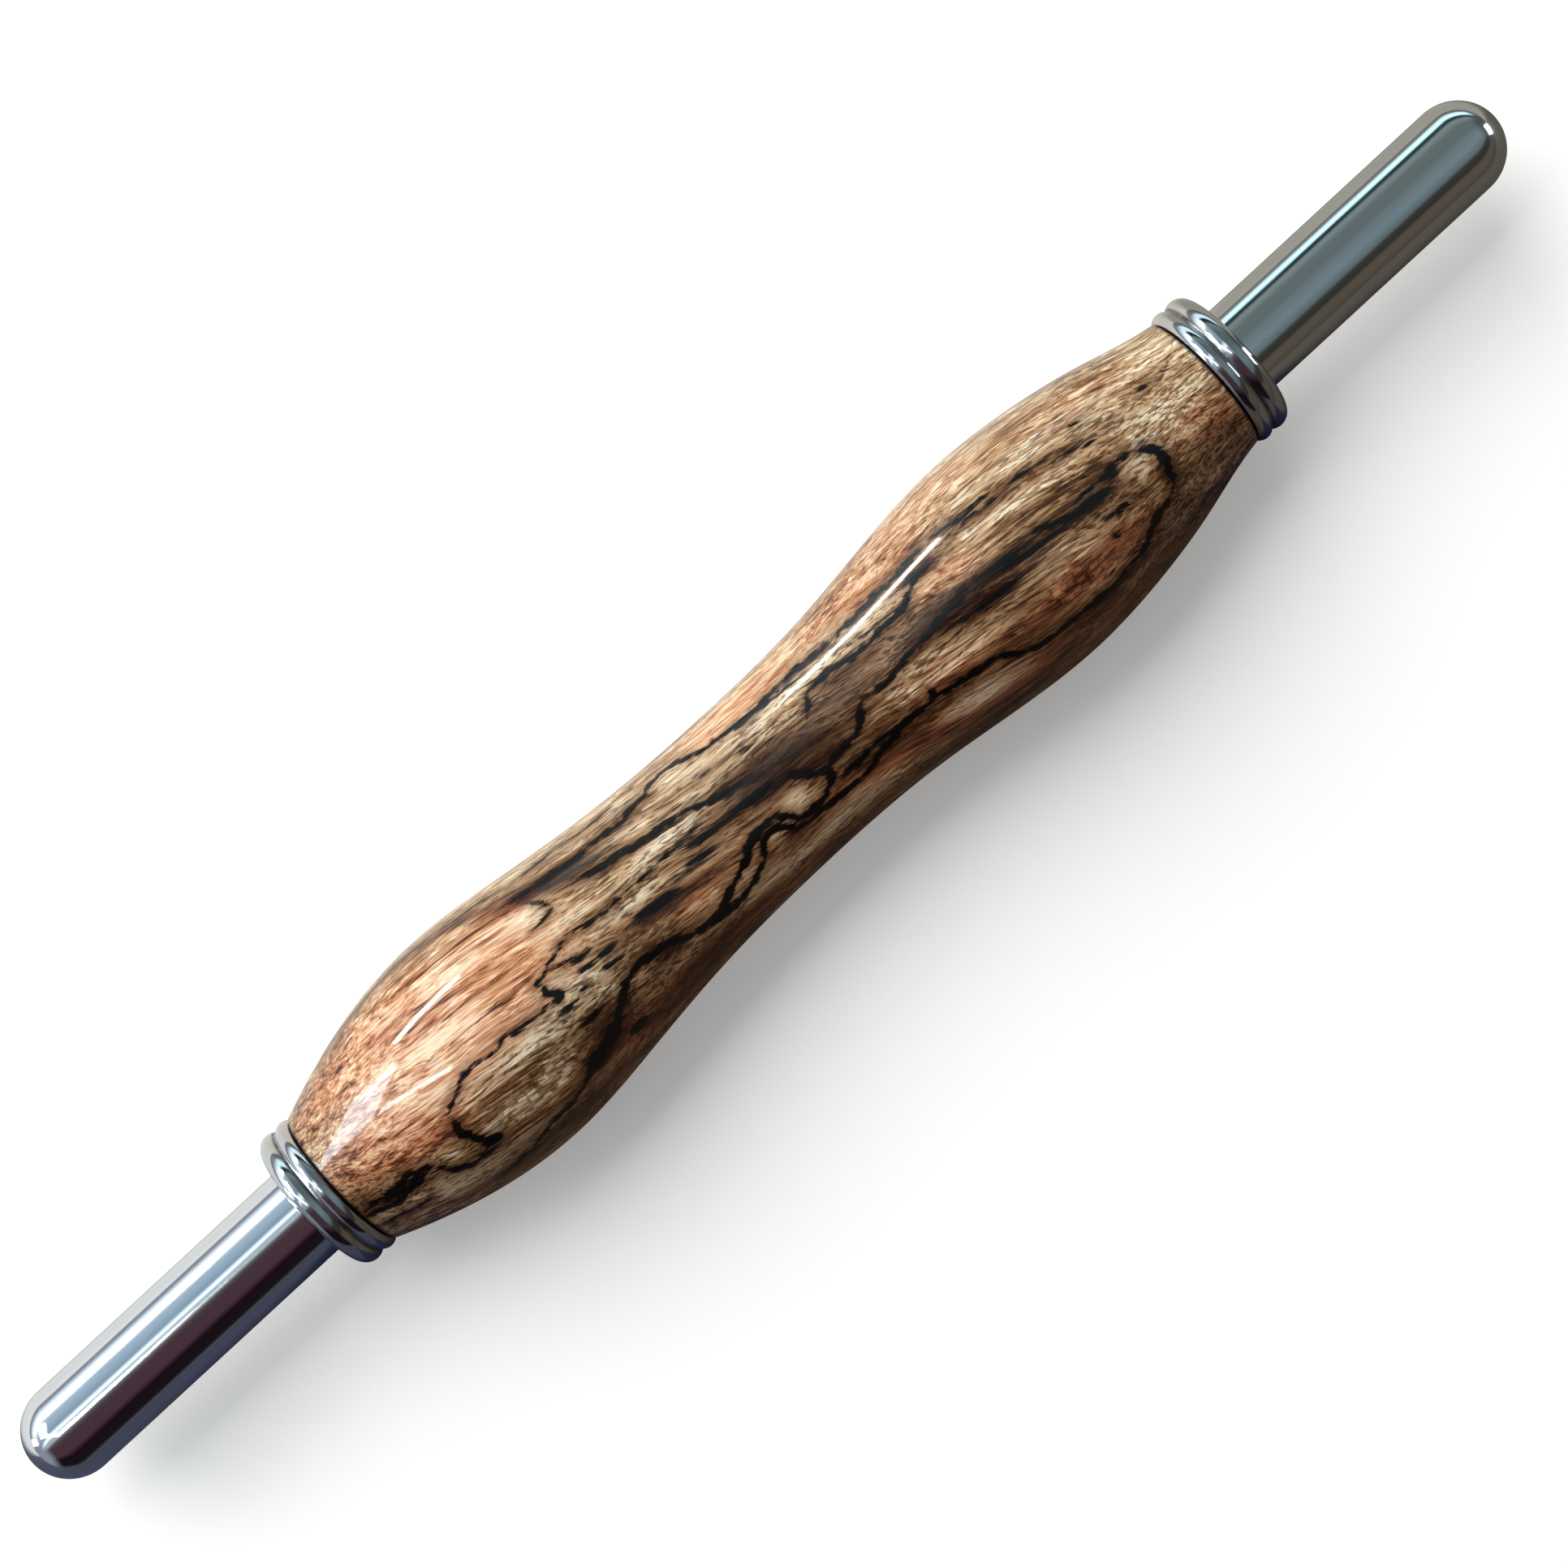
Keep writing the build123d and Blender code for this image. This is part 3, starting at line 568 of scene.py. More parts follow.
class Graph:
    """The node tree of a new material or of the world."""

    def __init__(self, owner):
        owner.use_nodes = True
        self.tree = owner.node_tree
        self.tree.nodes.clear()

    def node(self, kind, settings=None, sockets=None):
        """Adds a node: its settings first, such as an operation or a ramp's stops, then its sockets."""
        node = self.tree.nodes.new(kind)
        for key, value in (settings or {}).items():
            if key == "stops":
                elements = node.color_ramp.elements
                while len(elements) < len(value):
                    elements.new(0.5)
                for element, (position, colour) in zip(elements, value):
                    element.position = position
                    element.color = (*colour, 1)
            else:
                setattr(node, key, value)
        for key, value in (sockets or {}).items():
            self.feed(node, key, value)
        return node

    def feed(self, node, key, value):
        """Links or sets one socket, named by its number, identifier or name."""
        socket = node.inputs[key] if isinstance(key, int) else next(
            s for s in node.inputs if key in (s.identifier, s.name))
        if isinstance(value, Value):
            value = value.socket
        if isinstance(value, bpy.types.NodeSocket):
            self.tree.links.new(value, socket)
        elif socket.type == "RGBA":
            socket.default_value = (*value[:3], 1)
        else:
            socket.default_value = value

    def number(self, kind, settings=None, sockets=None):
        """The first output of a new node."""
        return Value(self, self.node(kind, settings, sockets).outputs[0])

    def axes(self, vector):
        """A vector's x, y and z."""
        return (Value(self, part) for part in self.node("ShaderNodeSeparateXYZ", None, {0: vector}).outputs)

    def vector_of(self, x, y, z=0.0):
        """The vector with these parts."""
        return self.node("ShaderNodeCombineXYZ", None, {0: x, 1: y, 2: z}).outputs[0]

    def shades(self, factor, stops):
        """The colour at factor along a row of (place from 0 to 1, colour)."""
        return self.node("ShaderNodeValToRGB", {"stops": stops}, {0: factor}).outputs[0]

    def mix(self, factor, a, b, blend="MIX"):
        """Colour a towards colour b by factor."""
        node = self.node("ShaderNodeMix", {"data_type": "RGBA", "blend_type": blend},
                         {"Factor_Float": factor, "A_Color": a, "B_Color": b})
        return next(s for s in node.outputs if s.identifier == "Result_Color")

    def shade(self, colour, mask, tint):
        """Darkens a colour by a tint where the mask is, and keeps the pattern that it has."""
        return self.mix(mask, colour, tint, blend="MULTIPLY")

    def vector(self, operation, *values):
        """Vector arithmetic, such as ADD."""
        return self.node("ShaderNodeVectorMath", {"operation": operation},
                         dict(enumerate(values))).outputs[0]

    def object_place(self):
        """The place on the piece, in metres."""
        return self.node("ShaderNodeTexCoord").outputs["Object"]

    def stretched(self, vector, sizes, turn=0.0, shift=(0.0, 0.0, 0.0)):
        """The vector in units of sizes (metres), from shift and in axes turned by turn about Z."""
        sockets = {0: vector, "Location": shift, "Rotation": (0, 0, turn), "Scale": sizes}
        return self.node("ShaderNodeMapping", {"vector_type": "TEXTURE"}, sockets).outputs[0]

    def noise(self, vector, detail=2.0, roughness=0.5, colour=False):
        """Noise with features about one unit of the vector across, around 0.5."""
        sockets = {"Vector": vector, "Scale": 1.0, "Detail": detail, "Roughness": roughness}
        node = self.node("ShaderNodeTexNoise", None, sockets)
        return node.outputs["Color"] if colour else Value(self, node.outputs[0])

    def field(self, name):
        """One of the piece's own attributes."""
        return Value(self, self.node("ShaderNodeAttribute", {"attribute_name": name}).outputs["Fac"])

    def bump(self, height, distance, strength=1.0):
        """The normal of a surface raised by height times distance."""
        sockets = {"Height": height, "Distance": distance, "Strength": strength}
        return self.node("ShaderNodeBump", None, sockets).outputs[0]

    def finish(self, **sockets):
        """The Principled shader, with these sockets, as the material's surface."""
        named = {key.replace("_", " "): value for key, value in sockets.items()}
        shader = self.node("ShaderNodeBsdfPrincipled", None, named)
        self.node("ShaderNodeOutputMaterial", None, {"Surface": shader.outputs[0]})


def new_material(name):
    """A material and its graph."""
    material = bpy.data.materials.new(name)
    return material, Graph(material)


# ---- Materials ----------------------------------------------------------------------------
def spalted_wood(settings):
    """Pale hardwood with wavy dark fibres and short pores, stained and crossed by zone lines, with painted
    shade along its lower side and a painted sheen along its top edge.
    """
    material, g = new_material("spalted_wood")
    turn = -settings.grain_tilt
    here = g.object_place()
    sway = g.noise(g.stretched(here, (11 * MM, 3.4 * MM, 3.4 * MM), turn), colour=True)
    sway = g.vector("SUBTRACT", sway, (0.5, 0.5, 0.5))
    sway = g.vector("MULTIPLY", sway, (2.5 * MM, 1.5 * MM, 1.5 * MM))
    bent = g.vector("ADD", here, sway)

    def fibres(length, width, detail, roughness, shift):
        """Noise drawn out along the grain, about 0, most of it between -0.2 and 0.2."""
        vector = g.stretched(bent, (length * MM, width * MM, width * MM), turn, (shift, 0, 0))
        return g.noise(vector, detail, roughness) - 0.5

    bands, strands, hairs, streaks, pores, feather = (fibres(*row) for row in FIBRES)

    # small square cells where the rays are cut across, laid out flat round the handle
    along, y, z = g.axes(here)
    round_handle = g.vector_of(along, y.arctan2(z) * HANDLE_RADIUS)
    cells = g.node("ShaderNodeTexVoronoi", {"distance": "CHEBYCHEV", "voronoi_dimensions": "2D"},
                   {"Vector": g.stretched(round_handle, (0.95 * MM, 0.68 * MM, 1.0), turn), "Scale": 1.0})
    cell_tone = g.number("ShaderNodeSeparateColor", None, {0: cells.outputs["Color"]})
    rays = g.field("rays").ramp(0.2, 0.8)

    # tone of the clean wood, from 0 for the darkest fibres to 1 for the palest
    # the stain field darkens the tone, also where it is painted shade along the lower side; pale lightens
    # it, also where it is painted sheen along the top edge
    pale, stain = g.field("pale"), g.field("stain")
    tone = (0.415 + bands * 1.5 + strands * 1.9 + hairs * 1.6 + pale * 0.68 - stain * 0.25
            + rays * (cell_tone - 0.55) * 0.45)
    quarters = (0.0, 0.25, 0.5, 0.75, 1.0)
    sapwood = (settings.dark, settings.brown, settings.tan, settings.straw, settings.cream)
    heartwood = (settings.dark, settings.rust, settings.orange, settings.peach, settings.blush)
    warmth = g.field("warm").ramp(0.1, 0.9)
    colour = g.mix(warmth, g.shades(tone, list(zip(quarters, sapwood))),
                   g.shades(tone, list(zip(quarters, heartwood))))

    # short flecks, closer together towards the stylus end, then longer dark streaks
    fleck_tint = g.mix(warmth, settings.fleck_tint, settings.warm_tint)
    fleck = (pores + strands * 0.5 + along.ramp(0.0, 30 * MM) * 0.035).ramp(0.04, 0.17) * 0.85
    colour = g.shade(colour, fleck * (1 - warmth * 0.6), fleck_tint)
    streak = (streaks + hairs * 0.3).ramp(0.02, 0.17) * (0.6 + pale * (0.2 - warmth * 0.4))
    colour = g.shade(colour, streak, fleck_tint)
    walls = (Value(g, cells.outputs["Distance"]) + hairs * 0.5).ramp(0.28, 0.5) * rays * 0.8
    colour = g.shade(colour, walls, settings.fleck_tint)

    # stain and painted shade that follow the fibres, soot beside the zone lines, then cracks and the lines
    # themselves
    smoke_and_shade = (stain + (strands * 3.0 + hairs * 3.0) * stain.ramp(0.0, 0.3)).ramp(0.2, 1.0) * 0.96
    colour = g.shade(colour, smoke_and_shade, settings.smoke_and_shade_tint)
    edge = g.field("ink") + feather * 0.5 + hairs * 0.5
    soot = edge.ramp(1.2, 0.0) * (strands * 1.2 + hairs).ramp(-0.16, 0.14) * 0.9
    colour = g.shade(colour, soot, settings.soot_tint)
    crack = (g.field("crack") + feather * 0.4 + hairs * 0.3).ramp(0.11, -0.06) * 0.9
    colour = g.mix(crack, colour, settings.crack)
    seam = 0.35 * MM                                # nearly black band in the wood where it meets each ferrule
    ends = along.ramp(HANDLE_START + seam, HANDLE_START) + along.ramp(HANDLE_END - seam, HANDLE_END)
    # black of the zone lines, of the painted shade line along the upper edge and of the band against each
    # ferrule
    ink = edge.ramp(0.12, -0.09).most(ends * 0.9)
    colour = g.mix(ink, colour, settings.ink)

    height = hairs * 0.8 + strands * 1.0 + feather * 0.4 - fleck * 0.3 - streak * 0.3
    g.finish(Base_Color=colour, Roughness=settings.gloss + hairs * 0.2 + smoke_and_shade * 0.04,
             Normal=g.bump(height, settings.relief), IOR=1.5, Specular_IOR_Level=0.08, Coat_Weight=0.5,
             Coat_Roughness=0.05, Coat_IOR=1.5)
    return material


def polished_metal(name, settings, tint, roughness, along, polish_and_shade=False):
    """Plated or polished metal. Fine marks run along the tool on rods, or round it on turned rings.

    Painted shade, with polish and dust, darkens the grooves where it is asked for and the piece has a groove
    attribute.
    """
    material, g = new_material(name)
    here = g.object_place()
    wash = g.noise(g.stretched(here, (4 * MM, 0.8 * MM, 0.8 * MM)))
    if along:
        marks = g.noise(g.stretched(here, (9 * MM, 0.05 * MM, 0.05 * MM)), roughness=0.6)
    else:
        x, y, z = g.axes(here)
        turned = g.vector_of(x, (y * y + z * z).root(), y.arctan2(z) * (2 * MM))
        marks = g.noise(g.stretched(turned, (0.03 * MM, 0.03 * MM, 3 * MM)), roughness=0.6)
    colour = g.mix((marks - 0.5) * 0.5 + 0.2, tint, [0.86 * c for c in tint])
    shine = roughness + marks.ramp(0.62, 0.75) * 0.12 + (wash - 0.5) * 0.03
    if polish_and_shade:
        # painted shade in the grooves, with polish and dust: darker and rougher there
        polish_and_shade_mask = g.field("groove").ramp(0.15, 0.9) * (wash + 0.25)
        colour = g.mix(polish_and_shade_mask, colour, settings.polish_and_shade)
        shine = shine + polish_and_shade_mask * 0.3
    normal = g.bump(marks + wash * 1.4, settings.scratch_depth)
    g.finish(Base_Color=colour, Metallic=1.0, Roughness=shine, Normal=normal)
    return material


def rubber(name):
    """Matt black O-ring rubber with a faint bloom."""
    material, g = new_material(name)
    speckle = g.noise(g.stretched(g.object_place(), (0.1 * MM,) * 3), 3.0, 0.6)
    colour = g.mix(speckle, (0.012, 0.012, 0.013), (0.03, 0.03, 0.032))
    g.finish(Base_Color=colour, Roughness=0.5 + speckle * 0.2,
             Normal=g.bump(speckle, 0.02 * MM, 0.6))
    return material


def pale_floor(settings):
    """A matt pale tabletop, with painted cards beside the tool that only the tool sees, in its reflections
    and in the light bounced onto it.

    Dark ones, painted shade and reflection, lie on its shaded side and beside the ferrules, and pale ones,
    painted bounce light, lie on its lit side.
    """
    material, g = new_material("pale_floor")
    here = g.object_place()
    drift = g.noise(g.stretched(here, (120 * MM,) * 3), detail=3.0)
    fine = g.noise(g.stretched(here, (0.4 * MM,) * 3))
    colour = g.mix(drift, settings.floor, [0.98 * c for c in settings.floor])
    x, y, _ = g.axes(here)
    past_start, past_end = x.ramp(-56 * MM, -44 * MM), x.ramp(46 * MM, 58 * MM)
    # painted shade and reflection beside the tool's shaded side, by each end and darkest by the ferrules
    shaded = g.mix(past_start, settings.needle_end_painted_shade, settings.handle_painted_shade)
    shaded = g.mix(past_end, shaded, settings.stylus_end_painted_shade)
    out = x * x                                     # squared, so that it serves both ends
    by_ferrules = out.ramp((42 * MM)**2, (47 * MM)**2) * out.ramp((60 * MM)**2, (53 * MM)**2)
    shaded = g.mix(by_ferrules, shaded, settings.ferrule_painted_shade)
    # painted bounce light beside the tool's lit side
    sunny = g.mix(past_start, settings.floor, settings.handle_bounce)
    sunny = g.mix(past_end, sunny, settings.stylus_end_bounce)
    beside = g.mix(y.ramp(2 * MM, 12 * MM) * y.ramp(95 * MM, 60 * MM), shaded, sunny)
    seen = g.number("ShaderNodeLightPath")
    g.finish(Base_Color=g.mix(seen, beside, colour), Roughness=0.75 + fine * 0.1,
             Normal=g.bump(fine, 0.01 * MM, 0.4), Emission_Color=g.mix(seen, (0, 0, 0), colour),
             Emission_Strength=settings.floor_glow)
    return material


# ---- Settings -----------------------------------------------------------------------------
def colour_property(name, description, default):
    return bpy.props.FloatVectorProperty(
        name=name, description=description, default=default, subtype="COLOR", size=3, min=0, max=1)


def length_property(name, description, default):
    return bpy.props.FloatProperty(
        name=name, description=description, default=default, subtype="DISTANCE", unit="LENGTH", precision=6)


def angle_property(name, description, degrees):
    return bpy.props.FloatProperty(
        name=name, description=description, default=math.radians(degrees), subtype="ANGLE")


class ClayToolHandle(bpy.types.PropertyGroup):
    """The turned handle and its wood."""

    rows: bpy.props.IntProperty(name="Rows", description="Rings of points along the handle", default=374)
    columns: bpy.props.IntProperty(name="Columns", description="Points round each ring", default=248)
    grain_tilt: angle_property("Grain tilt", "Angle between the fibres and the tool's axis", 7.5)
    relief: length_property("Relief", "Height of the fibres that shows through the finish", 0.05 * MM)
    gloss: bpy.props.FloatProperty(
        name="Finish roughness", description="Roughness of the clear finish", default=0.30, min=0, max=1,
        subtype="FACTOR")
    cream: colour_property("Cream", "Palest sapwood", (0.80, 0.69, 0.50))
    straw: colour_property("Straw", "Pale sapwood", (0.60, 0.41, 0.235))
    tan: colour_property("Tan", "Sound sapwood", (0.37, 0.225, 0.118))
    brown: colour_property("Brown", "Darker bands", (0.18, 0.088, 0.036))
    dark: colour_property("Dark", "Darkest fibres", (0.05, 0.022, 0.010))
    blush: colour_property("Blush", "Palest heartwood", (0.86, 0.65, 0.45))
    peach: colour_property("Peach", "Pale heartwood", (0.74, 0.43, 0.255))
    orange: colour_property("Orange", "Warm heartwood", (0.50, 0.225, 0.105))
    rust: colour_property("Rust", "Reddish bands of the heartwood", (0.27, 0.085, 0.036))
    crack: colour_property("Cracks", "Cracks and fine brown lines", (0.062, 0.025, 0.010))
    fleck_tint: colour_property("Fleck tint", "Shade of short flecks and streaks", (0.27, 0.165, 0.105))
    warm_tint: colour_property("Warm tint", "The same in the heartwood", (0.50, 0.25, 0.14))
    soot_tint: colour_property("Soot tint", "Shade beside the zone lines", (0.24, 0.135, 0.07))
    # darkens real stains and the painted shade along the lower side
    smoke_and_shade_tint: colour_property("Smoke tint", "Shade of the stained wood", (0.125, 0.072, 0.040))
    # also the colour of the painted shade line along the upper edge
    ink: colour_property("Ink", "The zone lines", (0.0035, 0.0025, 0.002))


class ClayToolMetal(bpy.types.PropertyGroup):
    """Ferrules, inserts and the fittings inside."""

    columns: bpy.props.IntProperty(name="Columns", description="Points round each rod", default=144)
    chrome: colour_property("Chrome", "Plating on rods and collars", (0.66, 0.67, 0.68))
    ferrule: colour_property("Ferrule", "Duller plating on the ferrules", (0.54, 0.55, 0.56))
    steel: colour_property("Steel", "Needle and ball stylus", (0.55, 0.55, 0.54))
    brass: colour_property("Brass", "Tube and bushes", (0.72, 0.50, 0.20))
    # Painted shade in the ferrules' grooves, with the polish left there
    polish_and_shade: colour_property("Grime", "Polish left in the ferrules' grooves", (0.045, 0.04, 0.036))
    scratch_depth: length_property("Scratch depth", "Height of the polishing marks", 0.0006 * MM)
    bead_waver: length_property("Bead waver", "Unevenness of the hand-polished beads", 0.018 * MM)
    inner_bead: length_property("Inner bead radius", "Section of the bead next to the wood", 0.85 * MM)
    outer_bead: length_property("Outer bead radius", "Section of the fatter bead next to the rod", 1.10 * MM)


class ClayToolStage(bpy.types.PropertyGroup):
    """Floor, light and camera."""

    camera_height: length_property("Camera height", "Camera above the tool's axis", 264.5 * MM)
    camera_turn: angle_property("Camera turn", "Slope of the tool across the view", 42.68)
    camera_offset: bpy.props.FloatVectorProperty(
        name="Camera offset", description="Camera to the right of and above the tool's middle",
        default=(1.625 * MM, 0.455 * MM), size=2, subtype="XYZ", unit="LENGTH", precision=5)
    lens: bpy.props.FloatProperty(name="Lens", description="Focal length", default=75.9, unit="CAMERA")
    floor: colour_property("Floor", "Pale tabletop", (0.84, 0.83, 0.81))
    past_needle_end: colour_property("Past the needle end", "The room beyond it", (0.34, 0.38, 0.46))
    past_stylus_end: colour_property("Past the stylus end", "The room beyond it", (0.10, 0.11, 0.13))
    backdrop: colour_property("Backdrop", "What is seen past the tabletop's edge", (0.56, 0.59, 0.62))
    # Floor colours that only reflections and bounced light see: painted shade and reflection beside the
    # tool, and painted bounce light on its lit side
    needle_end_painted_shade: colour_property("Card, needle end", "Dark card beside the rod", (0.05, 0.055, 0.10))
    handle_painted_shade: colour_property("Card, handle", "Dark card beside the handle", (0.10, 0.07, 0.047))
    stylus_end_painted_shade: colour_property("Card, stylus end", "Dark card beside the rod", (0.11, 0.09, 0.07))
    ferrule_painted_shade: colour_property("Card, ferrules", "Dark blue card beside each", (0.010, 0.014, 0.05))
    handle_bounce: colour_property("Bounce, handle", "Pale card on the lit side", (0.84, 0.76, 0.67))
    stylus_end_bounce: colour_property("Bounce, stylus end", "Card on the lit side", (0.40, 0.37, 0.31))
    floor_glow: bpy.props.FloatProperty(
        name="Floor glow", description="Light that fills the shadows on the floor", default=0.30)
    surroundings: bpy.props.FloatProperty(
        name="Surroundings", description="Brightness of the room about the tool", default=1.0)
    lamps: bpy.props.FloatProperty(
        name="Lamps", description="Brightness of the soft boxes", default=1.0)


# ---- Pieces -------------------------------------------------------------------------------
class CLAYTOOL_OT_handle(bpy.types.Operator):
    """Turned handle: two swells and a waist, bored through, with the figure of spalted wood"""

    bl_idname = "clay_tool.handle"
    bl_label = "Handle"

    def execute(self, context):
        settings = context.scene.clay_tool_handle
        tube = reach("liner_tube")[2]
        cad_rings, cad_radii = outer_profile("handle_body", tube * 1.05)
        rings = np.linspace(cad_rings[1], cad_rings[-2], settings.rows)
        radii = cubic_through(cad_rings, cad_radii, rings)
        edge = rings[0] - HANDLE_START                      # rounding of the handle's two ends
        bore = tube + BORE_GAP
        profile = joined(
            np.column_stack([rings, radii]),
            arc((rings[-1], radii[-1] - edge), edge, 90, 0, 4),
            stretch((HANDLE_END, radii[-1] - edge), (HANDLE_END, bore), 3),
            stretch((HANDLE_START, bore), (HANDLE_START, radii[0] - edge), 3),
            arc((rings[0], radii[0] - edge), edge, 180, 90, 4),
        )
        piece = lathe("handle", profile, settings.columns, bunch=0.25)
        x, y, z = coordinates(piece.data) / MM
        slope = -math.tan(settings.grain_tilt)
        figure = wood_figure(x, np.degrees(np.arctan2(y, z)), np.hypot(y, z), slope)
        for name, values in figure.items():
            store(piece.data, name, values)
        place(piece, spalted_wood(settings), "handle", "spalted_wood", "handle_body")
        return {"FINISHED"}


class CLAYTOOL_OT_ferrules(bpy.types.Operator):
    """Ferrule rings: two chrome beads side by side, with a flat front face and the rod's mouth"""

    bl_idname = "clay_tool.ferrules"
    bl_label = "Ferrules"

    def execute(self, context):
        settings = context.scene.clay_tool_metal
        material = polished_metal(
            "ferrule_chrome", settings, settings.ferrule, 0.07, along=False, polish_and_shade=True)
        for end, way in ENDS.items():
            node = f"{end}_end_ferrule_ring"
            low, high, radius = reach(node)
            back = low if way > 0 else high
            profile = self.outline(settings, high - low, radius)
            profile[:, 0] = back + way * profile[:, 0]
            piece = lathe(f"{end}_ferrule", profile, FERRULE_COLUMNS,
                          ripple=self.waver(settings, way, back, radius))
            x, y, z = coordinates(piece.data)
            out = way * (x - back)
            # grooves that get painted shade: the cove between the beads, the face against the wood and round
            # the rod's mouth
            valley = 2 * settings.inner_bead - 0.05 * MM
            groove = (self.dip(out, valley, 0.17 * MM) + self.dip(out, 0, 0.13 * MM)
                      + self.dip(np.hypot(y, z), ROD_RADIUS, 0.35 * MM))
            store(piece.data, "groove", np.clip(groove, 0, 1))
            place(piece, material, "handle", "chrome", node)
        return {"FINISHED"}

    @staticmethod
    def waver(settings, way, back, radius):
        """A slight unevenness of the beads: sines round the ring that shift along it, random in phase."""
        counts = (3, 5, 8, 13, 21)                          # waves round the ring
        phases = np.random.default_rng(7 if way > 0 else 8).uniform(0, 2 * np.pi, len(counts))
        shift = 1.7 / MM                                    # radians by which they turn per metre
        beads = radius * 0.88                               # radius past which the surface is bead

        def ripple(x, r, a):
            waves = sum(np.sin(k * a + phase + (x - back) * shift) / k**0.5
                        for k, phase in zip(counts, phases))
            return settings.bead_waver * 0.35 * waves * (r > beads)

        return ripple

    @staticmethod
    def dip(at, middle, width):
        """A bell curve that is 1 at the middle of a groove."""
        return np.exp(-(((at - middle) / width) ** 2))

    @staticmethod
    def outline(settings, length, radius):
        """Closed outline, with x outward from the wood: beads, front face, mouth, gland and flange seat.

        The cove between the beads is the arc that touches both of their circles.
        """
        inner, outer = settings.inner_bead, settings.outer_bead
        a = np.array([inner, radius - inner])
        b = np.array([length - outer, radius - outer])
        gap = b - a
        span = np.hypot(*gap)
        near, far = inner + COVE, outer + COVE
        along = (near**2 - far**2 + span**2) / (2 * span)
        up = math.sqrt(near**2 - along**2)
        c = a + along * gap / span + up * np.array([-gap[1], gap[0]]) / span
        at_a = math.degrees(math.atan2(*(c - a)[::-1]))
        at_b = math.degrees(math.atan2(*(c - b)[::-1]))
        mouth = ROD_RADIUS + MOUTH_GAP
        rim = mouth + MOUTH_EASE
        gland = reach("stylus_end_o_ring")[2] + GLAND_GAP
        lip = length - LIP_THICKNESS
        return joined(
            arc(a, inner, 180, at_a, 20),
            arc(c, COVE, at_a + 180, at_b + 180, 7),
            arc(b, outer, at_b, 0, 26),
            stretch((length, radius - outer), (length, rim), 4),
            arc((length - MOUTH_EASE, rim), MOUTH_EASE, 0, -90, 5),
            (lip, mouth), (lip, gland), (FLANGE_DEPTH, gland), (FLANGE_DEPTH, FLANGE_RADIUS),
            (0, FLANGE_RADIUS),
        )


class CLAYTOOL_OT_o_rings(bpy.types.Operator):
    """O-rings: round rubber rings that grip the inserts"""

    bl_idname = "clay_tool.o_rings"
    bl_label = "O-rings"

    def execute(self, context):
        material = rubber("o_ring_rubber")
        for end in ENDS:
            node = f"{end}_end_o_ring"
            low, high, radius = reach(node)
            section = (high - low) / 2
            profile = arc(((low + high) / 2, radius - section), section, 90, -270, 25)[:-1]
            piece = lathe(f"{end}_o_ring", profile, SMALL_COLUMNS)
            place(piece, material, f"{end}_o_ring", "rubber", node)
        return {"FINISHED"}


class CLAYTOOL_OT_rods(bpy.types.Operator):
    """Rods: polished chrome with a round nose, bored at the inner end"""

    bl_idname = "clay_tool.rods"
    bl_label = "Rods"

    def execute(self, context):
        settings = context.scene.clay_tool_metal
        material = polished_metal("rod_chrome", settings, settings.chrome, 0.08, along=True)
        for end, way in ENDS.items():
            node = f"{end}_insert_rod"
            low, high, radius = reach(node)
            shoulder = high - low - radius
            profile = joined(
                (SOCKET_DEPTH, 0), (SOCKET_DEPTH, SOCKET_RADIUS), (0, SOCKET_RADIUS),
                (0, radius - ROD_EASE),
                arc((ROD_EASE, radius - ROD_EASE), ROD_EASE, 180, 90, 5),
                stretch((ROD_EASE, radius), (shoulder, radius), 60),
                arc((shoulder, 0), radius, 90, 0, 40),
            )
            profile[0, 1] = profile[-1, 1] = 0              # exactly on the axis
            profile[:, 0] = (low if way > 0 else high) + way * profile[:, 0]
            piece = lathe(f"{end}_rod", profile, settings.columns)
            place(piece, material, f"{end}_insert", "chrome", node)
        return {"FINISHED"}


